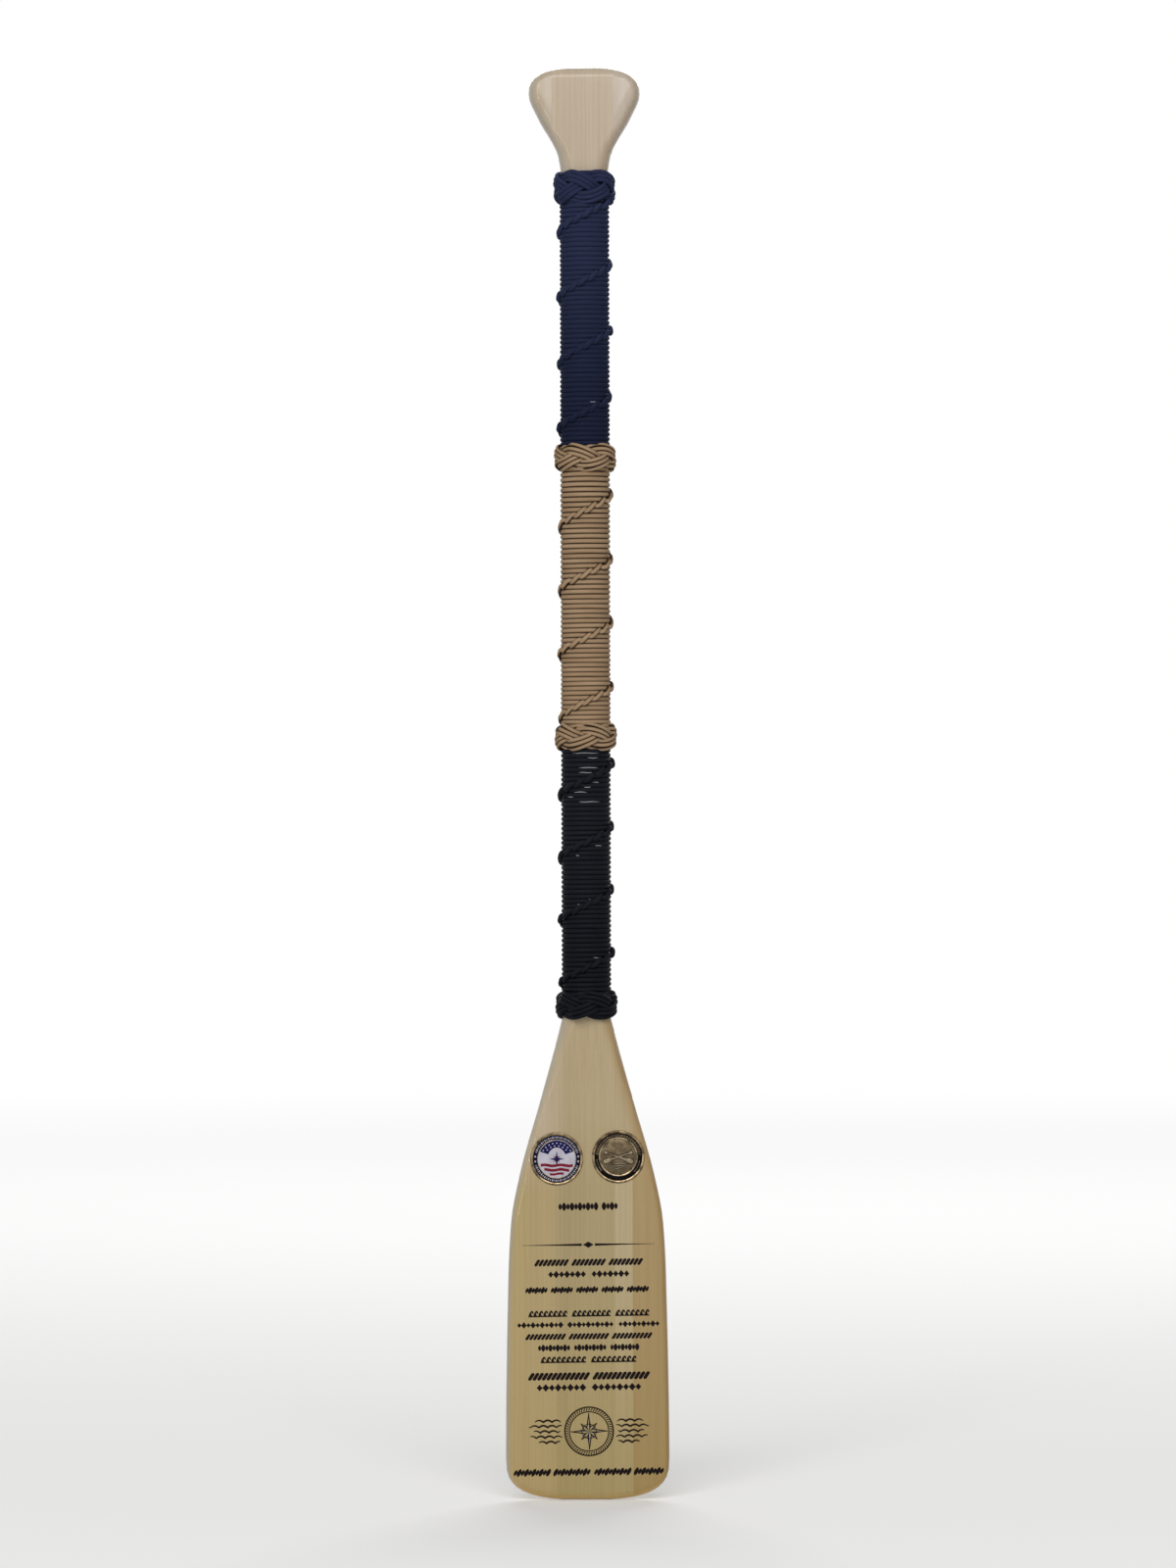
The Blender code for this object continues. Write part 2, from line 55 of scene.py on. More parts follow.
BODY = "root"
BLADE_FACE = -12 * MM
SHAFT_MIDDLE = -6 * MM
SHAFT_HALF_WIDTH = 15.875 * MM
SHAFT_HALF_DEPTH = 13.5 * MM
SAME_PLACE = 1e-7
CAD_TOUCH = 1e-6

Pair = tuple[float, float]
Triple = tuple[float, float, float]
Colour = Triple
Point = Pair
Drawn = tuple[list, list]
Path = list[tuple[Vector, Vector]]
Socket = bpy.types.NodeSocket
Material = bpy.types.Material
Node = bpy.types.Node
Outputs = bpy.types.NodeOutputs
Thing = bpy.types.Object
Finishes = dict[str, Material]

# Painted glints, as pale strips in the grooves: height, left end and right end in mm
BLACK_PAINTED_GLINTS = (
    (468.6, -10.9, 11.2), (465.0, 1.0, 10.4), (456.1, -8.5, 14.1), (451.9, -6.2, 9.3), (447.5, -12.7, -0.8),
    (444.2, 4.7, 11.2), (440.6, -3.2, 5.7), (436.4, -10.4, 1.0), (432.2, -15.0, -9.9), (428.9, -7.3, 11.7),
    (393.8, 6.5, 13.5), (382.8, -9.1, -4.9), (345.5, 2.0, 8.0), (341.3, -8.7, -1.2), (296.4, 5.4, 12.0),
)
NAVY_PAINTED_GLINTS = ((767.8, 3.8, 9.6),)


class Bench:
    """Adds nodes to one tree and joins them, for shader and geometry trees alike."""

    def __init__(self, tree: bpy.types.NodeTree) -> None:
        """Keeps the tree that the nodes go into.

        Args:
            tree: the tree to work on.
        """
        self.tree = tree

    def add(self, kind: str, **settings: object) -> Node:
        """Adds one node.

        Args:
            kind: the node's type.
            settings: its properties by name.

        Returns:
            The new node.
        """
        node = self.tree.nodes.new(kind)
        for name, value in settings.items():
            setattr(node, name, value)
        return node

    def feed(self, socket: Socket, value: object) -> None:
        """Joins a socket to another one, or sets its value.

        Args:
            socket: the input to feed.
            value: an output socket, or a plain value.
        """
        if isinstance(value, Socket):
            self.tree.links.new(value, socket)
        elif isinstance(value, tuple) and len(value) == 3 and socket.type == "RGBA":
            socket.default_value = (*value, 1.0)
        else:
            socket.default_value = value

    def step(self, kind: str, inputs: dict[str | int, object], **settings: object) -> Socket:
        """Adds a node, feeds its inputs and gives its first output.

        Args:
            kind: the node's type.
            inputs: what each input gets, by name or number.
            settings: the node's properties by name.

        Returns:
            The first enabled output of the node.
        """
        node = self.add(kind, **settings)
        for key, value in inputs.items():
            self.feed(node.inputs[key], value)
        return next(output for output in node.outputs if output.enabled)

    def math(self, operation: str, *values: object) -> Socket:
        """Adds a Math node that does the operation on the values."""
        return self.step("ShaderNodeMath", dict(enumerate(values)), operation=operation)

    def vector(self, operation: str, *values: object) -> Socket:
        """Adds a Vector Math node that does the operation on the values."""
        return self.step("ShaderNodeVectorMath", dict(enumerate(values)), operation=operation)

    def noise(self, place: object, scale: float, detail: float = 2.0) -> Socket:
        """Adds a noise pattern read at the place and gives its value."""
        return self.step("ShaderNodeTexNoise", {"Vector": place, "Scale": scale, "Detail": detail})

    def spread(self, value: object, low: float, high: float, to_low: float = 0.0,
               to_high: float = 1.0) -> Socket:
        """Maps low..high smoothly onto to_low..to_high."""
        inputs = {0: value, 1: low, 2: high, 3: to_low, 4: to_high}
        return self.step("ShaderNodeMapRange", inputs, interpolation_type="SMOOTHSTEP")

    def blend(self, factor: object, first: object, second: object, way: str = "MIX") -> Socket:
        """Mixes two colours by a factor."""
        inputs = {0: factor, 6: first, 7: second}
        return self.step("ShaderNodeMix", inputs, data_type="RGBA", blend_type=way)

    def scaled(self, place: object, scale: Triple) -> Socket:
        """Stretches coordinates by a scale along each axis."""
        return self.vector("MULTIPLY", place, scale)

    def times(self, first: object, second: object) -> Socket:
        """Multiplies two values."""
        return self.math("MULTIPLY", first, second)

    def parts(self, place: object) -> tuple[Socket, Socket, Socket]:
        """Splits coordinates into their parts.

        Args:
            place: the coordinates.

        Returns:
            Their x, y and z.
        """
        node = self.add("ShaderNodeSeparateXYZ")
        self.feed(node.inputs[0], place)
        return tuple(node.outputs)

    def joined(self, **parts: object) -> Socket:
        """Puts coordinates together from their parts X, Y and Z."""
        return self.step("ShaderNodeCombineXYZ", parts)

    def own_place(self) -> Socket:
        """Gives the coordinates of the shaded point in its object's own frame."""
        return self.add("ShaderNodeTexCoord").outputs["Object"]

    def store(self, shape: Socket, name: str, value: Socket, kind: str, domain: str) -> Socket:
        """Stores a value on a shape under a name."""
        inputs = {"Geometry": shape, "Name": name, "Value": value}
        return self.step("GeometryNodeStoreNamedAttribute", inputs, data_type=kind, domain=domain)

    def recall(self, name: str, kind: str) -> Socket:
        """Reads the value that is stored under a name."""
        return self.step("GeometryNodeInputNamedAttribute", {"Name": name}, data_type=kind)


class Group:
    """A node group with named sockets, built once and used by several materials or pieces."""

    def __init__(self, name: str, kind: str, inputs: dict[str, tuple[str, object]],
                 outputs: dict[str, str]) -> None:
        """Makes the empty group and its sockets.

        Args:
            name: the group's name.
            kind: ShaderNodeTree or GeometryNodeTree.
            inputs: for each input, its kind and its usual value.
            outputs: for each output, its kind.
        """
        self.tree = bpy.data.node_groups.new(name, kind)
        self.bench = Bench(self.tree)
        for label, (socket_kind, usual) in inputs.items():
            socket = self.tree.interface.new_socket(name=label, in_out="INPUT", socket_type=socket_kind)
            if usual is not None:
                socket.default_value = usual
        for label, socket_kind in outputs.items():
            self.tree.interface.new_socket(name=label, in_out="OUTPUT", socket_type=socket_kind)
        self.inlet = self.bench.add("NodeGroupInput").outputs
        self.outlet = self.bench.add("NodeGroupOutput").inputs

    def give(self, label: str, value: object) -> None:
        """Sends a value to one of the group's outputs."""
        self.bench.feed(self.outlet[label], value)

    def place(self, bench: Bench, inputs: dict[str, object]) -> Outputs:
        """Places the group in a material.

        Args:
            bench: the material's bench.
            inputs: what each input gets.

        Returns:
            The outputs of the placed group.
        """
        node = bench.add("ShaderNodeGroup", node_tree=self.tree)
        for label, value in inputs.items():
            bench.feed(node.inputs[label], value)
        return node.outputs


FLOAT = "NodeSocketFloat"
VECTOR = "NodeSocketVector"
WHOLE = "NodeSocketInt"
SHAPE = "NodeSocketGeometry"
MATERIAL = "NodeSocketMaterial"

# How many features lie in a metre, along each axis or all round
GRAIN_WANDER = (20.0, 20.0, 5.0)
GRAIN_STREAK = (620.0, 300.0, 3.2)
GRAIN_BAND = (70.0, 50.0, 1.3)
GRAIN_PORE = (1700.0, 1000.0, 38.0)
SHEATH_FUZZ = (900.0, 34.0, 1.0)
SHEATH_SOILING = (26.0, 1.5, 1.0)
METAL_SCRATCH = (260.0, 900.0, 4200.0)
METAL_SMUDGE = 190.0
CLOTH_LINT = 2600.0
EDGE_PATCH = 28.0

# How much each feature counts for in the grain's shade, and how far its lines wander
STREAK_SHARE = 0.52
BAND_SHARE = 0.26
PORE_SHARE = 0.22
WANDER_REACH = 0.006

# Where the wood's tone changes, as heights or distances to the right
TIP_TO_CHEST = (-0.165, 0.09)
UP_THE_CHEST = (0.09, 0.19)
THROAT_TO_GRIP = (0.35, 0.9)
PALE_FROM = (0.09, 0.16)
PALE_LEFT = (-8.0 * MM, -42.0 * MM)
WARM_FROM = (0.09, 0.14)
WARM_TO = (0.3, 0.26)
WARM_RIGHT = (70.0 * MM, 86.0 * MM)
WARM_SLANT = 0.25
BLADE_TO_GRIP = (0.3, 0.9)
# Heights over which painted light lifts the down-facing edges near the tip
PAINTED_UNDERSIDE_LIGHT_HEIGHTS = (-0.05, 0.1)
GLUE_LINE = (0.1 * MM, 0.9 * MM)


def grain_group() -> Group:
    """Builds the grain of the wood: long fine streaks, broad tonal bands and short pores.

    Returns:
        The group, which puts out the colour's shade and the height of the surface.
    """
    group = Group("wood grain", "ShaderNodeTree", {"Place": (VECTOR, None), "Shift": (FLOAT, 0.0)},
                  {"Shade": FLOAT, "Height": FLOAT})
    bench, inlet = group.bench, group.inlet
    shift = bench.joined(X=inlet["Shift"], Y=inlet["Shift"], Z=0.0)
    place = bench.vector("ADD", inlet["Place"], shift)
    wander = bench.noise(bench.scaled(place, GRAIN_WANDER), 1.0, 1.0)
    wander = bench.times(bench.math("SUBTRACT", wander, 0.5), WANDER_REACH)
    sway = bench.joined(X=wander, Y=wander, Z=0.0)
    place = bench.vector("ADD", place, sway)
    streak = bench.noise(bench.scaled(place, GRAIN_STREAK), 1.0, 3.0)
    band = bench.noise(bench.scaled(place, GRAIN_BAND), 1.0, 1.0)
    pore = bench.noise(bench.scaled(place, GRAIN_PORE), 1.0, 2.0)
    total = bench.times(streak, STREAK_SHARE)
    total = bench.math("MULTIPLY_ADD", band, BAND_SHARE, total)
    total = bench.math("MULTIPLY_ADD", pore, PORE_SHARE, total)
    group.give("Shade", bench.spread(total, 0.34, 0.66))
    group.give("Height", bench.math("ADD", bench.times(streak, 0.6), bench.times(pore, 0.4)))
    return group


def edge_group() -> Group:
    """Builds the tones of the rounded edges by the way they face, where the varnish lies thicker and where light is
    painted.

    Returns:
        The group, which puts out an amber mask that is also painted warm light on right-facing edges, a painted
        cool light mask for left-facing edges and a mask of what faces down, for painted light on the undersides.
    """
    group = Group("edge tones and painted light", "ShaderNodeTree", {"Facing": (VECTOR, None), "Place": (VECTOR, None)},
                  {"Amber And Painted Warm Light": FLOAT, "Painted Cool Light": FLOAT, "Painted Underside Light": FLOAT})
    bench, inlet = group.bench, group.inlet
    across, _, up = bench.parts(inlet["Facing"])
    # Right-facing edges: amber of thicker varnish, with painted warm light on that side only
    right = bench.spread(across, 0.15, 0.85)
    # Facing down: a little amber, and the mask for painted light that lifts the shaded undersides near the tip
    down = bench.spread(bench.times(up, -1.0), 0.1, 0.8)
    patches = bench.spread(bench.noise(inlet["Place"], EDGE_PATCH, 2.0), 0.3, 0.7, 0.7, 1.0)
    amber = bench.math("MAXIMUM", right, bench.times(down, 0.12))
    group.give("Amber And Painted Warm Light", bench.times(amber, patches))
    group.give("Painted Underside Light", down)
    # Left-facing edges: painted cool light
    group.give("Painted Cool Light", bench.spread(bench.times(across, -1.0), 0.15, 0.85))
    return group


def sheath_group() -> Group:
    """Builds the braided sheath of a cord from its UV map: metres along it, and once round it.

    Returns:
        The group, which puts out the colour's shade, the weave's height and a mask of the grooves between turns,
        where the cords' finishes paint shade and light.
    """
    group = Group("braided sheath and groove shading", "ShaderNodeTree",
                  {"UV": (VECTOR, None), "Strand Length": (FLOAT, 0.0019), "Strands": (FLOAT, 8.0)},
                  {"Shade": FLOAT, "Height": FLOAT, "Painted Groove Shading": FLOAT})
    bench, inlet = group.bench, group.inlet
    length, turn, _ = bench.parts(inlet["UV"])
    along = bench.math("DIVIDE", length, inlet["Strand Length"])
    around = bench.times(turn, inlet["Strands"])
    one_way = bench.math("SINE", bench.times(bench.math("ADD", along, around), math.pi))
    other_way = bench.math("SINE", bench.times(bench.math("SUBTRACT", along, around), math.pi))
    diamonds = bench.math("ABSOLUTE", bench.times(one_way, other_way))
    diamonds = bench.math("POWER", diamonds, 0.5)
    fuzz = bench.noise(bench.scaled(inlet["UV"], SHEATH_FUZZ), 1.0, 3.0)
    wear = bench.noise(bench.scaled(inlet["UV"], SHEATH_SOILING), 1.0, 2.0)
    shade = bench.math("MULTIPLY_ADD", diamonds, 0.16, bench.times(fuzz, 0.4))
    group.give("Shade", bench.math("MULTIPLY_ADD", wear, 0.5, shade))
    group.give("Height", bench.math("MULTIPLY_ADD", fuzz, 0.25, diamonds))
    # The grooves between turns, where the cord finishes paint shade, and the navy paints light against the real
    # occlusion
    side = bench.math("ABSOLUTE", bench.math("SUBTRACT", turn, 0.5))
    group.give("Painted Groove Shading", bench.spread(side, 0.07, 0.215))
    return group


def cloth_group() -> Group:
    """Builds a plain weave of warp and weft on object coordinates.

    Returns:
        The group, which puts out the shade and the height of the threads.
    """
    group = Group("plain weave", "ShaderNodeTree", {"Place": (VECTOR, None), "Thread": (FLOAT, 0.0007)},
                  {"Shade": FLOAT, "Height": FLOAT})
    bench, inlet = group.bench, group.inlet
    aside, deep, height = bench.parts(inlet["Place"])
    turn = bench.math("ARCTAN2", bench.math("SUBTRACT", deep, SHAFT_MIDDLE), aside)
    across = bench.times(turn, SHAFT_HALF_WIDTH)
    weft = bench.math("SINE", bench.times(bench.math("DIVIDE", across, inlet["Thread"]), math.pi))
    up = bench.math("DIVIDE", height, inlet["Thread"])
    warp = bench.math("SINE", bench.times(up, math.pi))
    threads = bench.math("ABSOLUTE", bench.times(weft, warp))
    lint = bench.noise(inlet["Place"], CLOTH_LINT, 3.0)
    group.give("Shade", bench.math("ADD", bench.times(threads, 0.5), bench.times(lint, 0.5)))
    group.give("Height", threads)
    return group


def wear_group() -> Group:
    """Builds handled metal and enamel: fine scratches and soft smudges.

    Returns:
        The group, which puts out a smudge mask, a scratch mask and a fine height.
    """
    group = Group("handling wear", "ShaderNodeTree", {"Place": (VECTOR, None), "Fineness": (FLOAT, 900.0)},
                  {"Smudge": FLOAT, "Scratch": FLOAT, "Height": FLOAT})
    bench, inlet = group.bench, group.inlet
    group.give("Smudge", bench.spread(bench.noise(inlet["Place"], METAL_SMUDGE, 3.0), 0.35, 0.7))
    long_way = bench.scaled(inlet["Place"], METAL_SCRATCH)
    group.give("Scratch", bench.spread(bench.noise(long_way, 1.0, 2.0), 0.58, 0.7))
    group.give("Height", bench.noise(inlet["Place"], inlet["Fineness"], 2.0))
    return group


class Effects:
    """The shader groups that several finishes share, each built once."""

    def __init__(self) -> None:
        """Builds every group."""
        self.grain = grain_group()
        self.edge = edge_group()
        self.sheath = sheath_group()
        self.cloth = cloth_group()
        self.wear = wear_group()


def new_material(name: str, sockets: dict[str, object]) -> tuple[Material, Bench, Node]:
    """Makes a material with one Principled shader.

    Args:
        name: the material's name.
        sockets: the values that are the same all over the surface.

    Returns:
        The material, a bench on its tree and the shader.
    """
    material = bpy.data.materials.new(name)
    material.use_nodes = True
    bench = Bench(material.node_tree)
    shader = next(node for node in material.node_tree.nodes if node.type == "BSDF_PRINCIPLED")
    for label, value in sockets.items():
        bench.feed(shader.inputs[label], value)
    return material, bench, shader


def bump(bench: Bench, shader: Node, height: object, depth: float, strength: float = 1.0) -> None:
    """Gives a shader a bumped normal.

    Args:
        bench: the material's bench.
        shader: the Principled shader.
        height: the height's socket, from 0 to 1.
        depth: what a height of 1 stands for, in metres.
        strength: how much of it shows.
    """
    node = bench.add("ShaderNodeBump")
    bench.feed(node.inputs["Height"], height)
    bench.feed(node.inputs["Distance"], depth)
    bench.feed(node.inputs["Strength"], strength)
    bench.feed(shader.inputs["Normal"], node.outputs[0])


def worn(bench: Bench, effects: Effects, fineness: float) -> Outputs:
    """Places the handling wear, read on object coordinates."""
    return effects.wear.place(bench, {"Place": bench.own_place(), "Fineness": fineness})


@dataclass(frozen=True)
class WoodFinish:
    """Varnished pale wood whose tone drifts from the blade's tip to the grip."""

    name: str
    tip: Colour
    middle: Colour
    chest: Colour
    grip: Colour
    shift: float
    contrast: float = 0.075
    glue_line: float | None = None
    # Amber of thicker varnish and of the glue line, also painted warm light on right-facing edges
    amber: Colour = (0.315, 0.172, 0.035)
    # Colour of the painted cool light on left-facing edges
    edge: Colour = (0.44, 0.40, 0.33)
    pale_chest: Colour = (0.485, 0.388, 0.262)
    # Colour of the painted light, warm amber, on down-facing edges near the tip
    under: Colour = (0.600, 0.380, 0.095)

    def material(self, effects: Effects) -> Material:
        """Builds the finish.

        Args:
            effects: the shared groups.

        Returns:
            The material.
        """
        material, bench, shader = new_material(self.name, {"Roughness": 0.45, "Specular IOR Level": 0.2,
                                                           "Coat Roughness": 0.1, "Coat IOR": 1.5})
        where = bench.add("ShaderNodeTexCoord")
        grain = effects.grain.place(bench, {"Place": where.outputs["Object"], "Shift": self.shift})
        edge = effects.edge.place(bench, {"Facing": where.outputs["Normal"], "Place": where.outputs["Object"]})
        aside, _, height = bench.parts(where.outputs["Object"])
        colour = self.grained(bench, self.drift(bench, aside, height), grain["Shade"])
        colour = self.edged(bench, colour, edge, aside, height)
        if self.glue_line is not None:
            away = bench.math("ABSOLUTE", bench.math("SUBTRACT", aside, self.glue_line))
            colour = bench.blend(bench.spread(away, *GLUE_LINE, 0.24, 0.0), colour, self.amber)
        bench.feed(shader.inputs["Base Color"], colour)
        bench.feed(shader.inputs["Coat Weight"], bench.spread(grain["Shade"], 0.0, 1.0, 0.55, 0.7))
        bump(bench, shader, grain["Height"], 0.05 * MM, 0.5)
        return material

    def drift(self, bench: Bench, aside: Socket, height: Socket) -> Socket:
        """Builds the colour's drift up the paddle, paler on the left from the chest up.

        Args:
            bench: the material's bench.
            aside: how far to the right the shaded point lies.
            height: its height.

        Returns:
            The colour there.
        """
        colour = bench.blend(bench.spread(height, *TIP_TO_CHEST), self.tip, self.middle)
        colour = bench.blend(bench.spread(height, *UP_THE_CHEST), colour, self.chest)
        colour = bench.blend(bench.spread(height, *THROAT_TO_GRIP), colour, self.grip)
        left = bench.times(bench.spread(aside, *PALE_LEFT), 0.9)
        return bench.blend(bench.times(bench.spread(height, *PALE_FROM), left), colour, self.pale_chest)

    def grained(self, bench: Bench, colour: Socket, shade: Socket) -> Socket:
        """Darkens a colour warmly in the grain's dark streaks and lightens it in the pale ones.

        Args:
            bench: the material's bench.
            colour: the wood's colour so far.
            shade: the grain's shade.

        Returns:
            The colour with its grain.
        """
        dark = tuple(1.0 - self.contrast * share for share in (1.0, 1.25, 1.6))
        light = tuple(1.0 + self.contrast * share for share in (0.55, 0.6, 0.65))
        darker = bench.blend(1.0, colour, dark, "MULTIPLY")
        lighter = bench.blend(1.0, colour, light, "MULTIPLY")
        return bench.blend(shade, darker, lighter)

    def edged(self, bench: Bench, colour: Socket, edge: Outputs, aside: Socket, height: Socket) -> Socket:
        """Adds the tones of the rounded edges, with painted light by the way they face, and the amber on the right
        of the chest.

        Args:
            bench: the material's bench.
            colour: the wood's colour so far.
            edge: the masks of the edges.
            aside: how far to the right the shaded point lies.
            height: its height.

        Returns:
            The colour with its edges.
        """
        # Painted cool light on left-facing edges
        colour = bench.blend(bench.times(edge["Painted Cool Light"], 0.5), colour, self.edge)
        # Amber on right-facing edges: thicker varnish and painted warm light
        rounded = bench.times(edge["Amber And Painted Warm Light"], bench.spread(height, *BLADE_TO_GRIP, 0.85, 0.3))
        slant = bench.math("MULTIPLY_ADD", height, WARM_SLANT, aside)
        chest = bench.times(bench.spread(height, *WARM_FROM), bench.spread(height, *WARM_TO, 0.0, 0.6))
        warm = bench.times(bench.spread(slant, *WARM_RIGHT), chest)
        colour = bench.blend(bench.math("MAXIMUM", rounded, warm), colour, self.amber)
        # Painted light, warm amber, lifting the shaded down-facing edges near the tip
        under = bench.times(edge["Painted Underside Light"], bench.spread(height, *PAINTED_UNDERSIDE_LIGHT_HEIGHTS, 0.6, 0.0))
        return bench.blend(under, colour, self.under)


@dataclass(frozen=True)
class CordFinish:
    """A braided nylon sheath, with painted shade in its grooves (painted light on navy). Its painted light falloff
    is two heights and the share of its colour at each, lighter toward the top.
    """

    name: str
    dark: Colour
    light: Colour
    # Painted shade in the grooves between turns; on navy lighter, painted light against their occlusion
    groove: Colour
    roughness: float
    gloss: float
    # Painted light: two heights and the share of the colour at each, lighter toward the top
    painted_light_falloff: tuple[float, float, float, float] | None = None

    def material(self, effects: Effects) -> Material:
        """Builds the finish.

        Args:
            effects: the shared groups.

        Returns:
            The material.
        """
        material, bench, shader = new_material(self.name, {"Specular IOR Level": self.gloss})
        lay = bench.add("ShaderNodeUVMap", uv_map="UVMap")
        weave = effects.sheath.place(bench, {"UV": lay.outputs["UV"]})
        colour = bench.blend(bench.spread(weave["Shade"], 0.3, 0.8), self.dark, self.light)
        # Paints the groove colour between turns: painted shade, and on navy painted light
        colour = bench.blend(weave["Painted Groove Shading"], colour, self.groove)
        # Painted light from above: lighter toward the top, darker toward the bottom
        if self.painted_light_falloff is not None:
            _, _, height = bench.parts(bench.own_place())
            colour = bench.blend(1.0, colour, bench.spread(height, *self.painted_light_falloff), "MULTIPLY")
        bench.feed(shader.inputs["Base Color"], colour)
        rough = bench.spread(weave["Shade"], 0.2, 0.9, self.roughness + 0.08, self.roughness - 0.08)
        bench.feed(shader.inputs["Roughness"], rough)
        bump(bench, shader, weave["Height"], 0.08 * MM, 0.5)
        return material


@dataclass(frozen=True)
class TapeFinish:
    """Matte cloth tape."""

    name: str
    dark: Colour
    light: Colour

    def material(self, effects: Effects) -> Material:
        """Builds the finish.

        Args:
            effects: the shared groups.

        Returns:
            The material.
        """
        material, bench, shader = new_material(self.name, {"Roughness": 0.9, "Specular IOR Level": 0.1})
        weave = effects.cloth.place(bench, {"Place": bench.own_place()})
        bench.feed(shader.inputs["Base Color"], bench.blend(weave["Shade"], self.dark, self.light))
        bump(bench, shader, weave["Height"], 0.1 * MM, 0.7)
        return material


@dataclass(frozen=True)
class MetalFinish:
    """Gold plate, polished or blasted, with tarnish in patches."""

    name: str
    bright: Colour
    tarnish: Colour
    polish: float
    grit: float

    def material(self, effects: Effects) -> Material:
        """Builds the finish.

        Args:
            effects: the shared groups.

        Returns:
            The material.
        """
        material, bench, shader = new_material(self.name, {"Metallic": 1.0})
        wear = worn(bench, effects, 2400.0)
        bench.feed(shader.inputs["Base Color"], bench.blend(wear["Smudge"], self.bright, self.tarnish))
        rough = bench.spread(wear["Smudge"], 0.0, 1.0, self.polish, self.polish + 0.16)
        bench.feed(shader.inputs["Roughness"], bench.math("MULTIPLY_ADD", wear["Scratch"], 0.12, rough))
        bump(bench, shader, wear["Height"], self.grit, 0.5)
        return material


@dataclass(frozen=True)
class EnamelFinish:
    """Soft enamel: glossy colour with slight ripples."""

    name: str
    colour: Colour
    clouded: Colour

    def material(self, effects: Effects) -> Material:
        """Builds the finish.

        Args:
            effects: the shared groups.

        Returns:
            The material.
        """
        material, bench, shader = new_material(self.name, {"IOR": 1.5, "Specular IOR Level": 0.05})
        wear = worn(bench, effects, 420.0)
        bench.feed(shader.inputs["Base Color"], bench.blend(wear["Smudge"], self.colour, self.clouded))
        bench.feed(shader.inputs["Roughness"], bench.spread(wear["Scratch"], 0.0, 1.0, 0.12, 0.3))
        bump(bench, shader, wear["Height"], 0.03 * MM, 0.6)
        return material


@dataclass(frozen=True)
class InkFinish:
    """Printed ink under the varnish, a little uneven."""

    name: str
    dense: Colour
    thin: Colour

    def material(self, effects: Effects) -> Material:
        """Builds the finish.

        Args:
            effects: the shared groups.

        Returns:
            The material.
        """
        material, bench, shader = new_material(self.name, {"Roughness": 0.4, "Specular IOR Level": 0.05})
        wear = worn(bench, effects, 1500.0)
        bench.feed(shader.inputs["Base Color"], bench.blend(wear["Height"], self.dense, self.thin))
        return material


@dataclass(frozen=True)
class EpoxyFinish:
    """Cured adhesive, clear amber, with tiny bubbles."""

    name: str
    colour: Colour

    def material(self, effects: Effects) -> Material:
        """Builds the finish.

        Args:
            effects: the shared groups.

        Returns:
            The material.
        """
        material, bench, shader = new_material(self.name, {"Roughness": 0.3})
        wear = worn(bench, effects, 700.0)
        cloud = tuple(min(1.0, 1.2 * part) for part in self.colour)
        bench.feed(shader.inputs["Base Color"], bench.blend(wear["Smudge"], self.colour, cloud))
        bump(bench, shader, wear["Height"], 0.1 * MM, 0.4)
        return material


def put_in(name: str, data: bpy.types.ID) -> Thing:
    """Puts a new object with the data into the scene.

    Args:
        name: the object's name.
        data: its mesh, lamp or camera.

    Returns:
        The object.
    """
    thing = bpy.data.objects.new(name, data)
    bpy.context.scene.collection.objects.link(thing)
    return thing


def new_object(name: str, vertices: Iterable[Sequence[float]], faces: Iterable[Sequence[int]],
               edges: Iterable[Sequence[int]] = ()) -> Thing:
    """Makes an object from plain mesh data.

    Args:
        name: the object's name.
        vertices: its points.
        faces: its faces.
        edges: its loose edges.

    Returns:
        The object, in the scene, at the origin.
    """
    mesh = bpy.data.meshes.new(name)
    mesh.from_pydata([tuple(point) for point in vertices], [tuple(edge) for edge in edges],
                     [tuple(face) for face in faces])
    mesh.update()
    return put_in(name, mesh)


def shade(thing: Thing, angle: float = 35.0) -> None:
    """Shades an object smooth with sharp edges, faces outward.

    Args:
        thing: the object.
        angle: the angle in degrees past which an edge is sharp.
    """
    work = bmesh.new()
    work.from_mesh(thing.data)
    bmesh.ops.remove_doubles(work, verts=work.verts, dist=SAME_PLACE)
    bmesh.ops.recalc_face_normals(work, faces=work.faces)
    for face in work.faces:
        face.smooth = True
    for edge in work.edges:
        edge.smooth = len(edge.link_faces) == 2 and edge.calc_face_angle(0.0) < math.radians(angle)
    work.to_mesh(thing.data)
    work.free()


def settle(thing: Thing) -> None:
    """Turns an object's modifiers into its plain mesh.

    Args:
        thing: the object.
    """
    bpy.context.view_layer.update()
    graph = bpy.context.evaluated_depsgraph_get()
    done = bpy.data.meshes.new_from_object(thing.evaluated_get(graph), depsgraph=graph)
    done.name = thing.name
    thing.modifiers.clear()
    thing.data = done


def grow(thing: Thing, group: Group, inputs: dict[str, object]) -> Thing:
    """Runs a geometry tree on an object and keeps the result as its plain mesh.

    Args:
        thing: the object whose mesh the tree starts from.
        group: the tree.
        inputs: the tree's inputs by name.

    Returns:
        The same object with its new mesh.
    """
    modifier = thing.modifiers.new(group.tree.name, "NODES")
    modifier.node_group = group.tree
    sockets = [item for item in group.tree.interface.items_tree if item.in_out == "INPUT"]
    identifiers = {socket.name: socket.identifier for socket in sockets}
    for label, value in inputs.items():
        modifier[identifiers[label]] = value
    settle(thing)
    return thing


def hand_over(thing: Thing, nodes: Sequence[str] = ()) -> None:
    """Gives a finished piece to the frame.

    Args:
        thing: the piece.
        nodes: the CAD nodes that it stands for.
    """
    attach(thing, BODY)
    if nodes:
        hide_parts(*nodes)
    LOG.info("%s: %d faces", thing.name, len(thing.data.polygons))


def dress(thing: Thing, material: Material) -> None:
    """Leaves an object with one material."""
    thing.data.materials.clear()
    thing.data.materials.append(material)


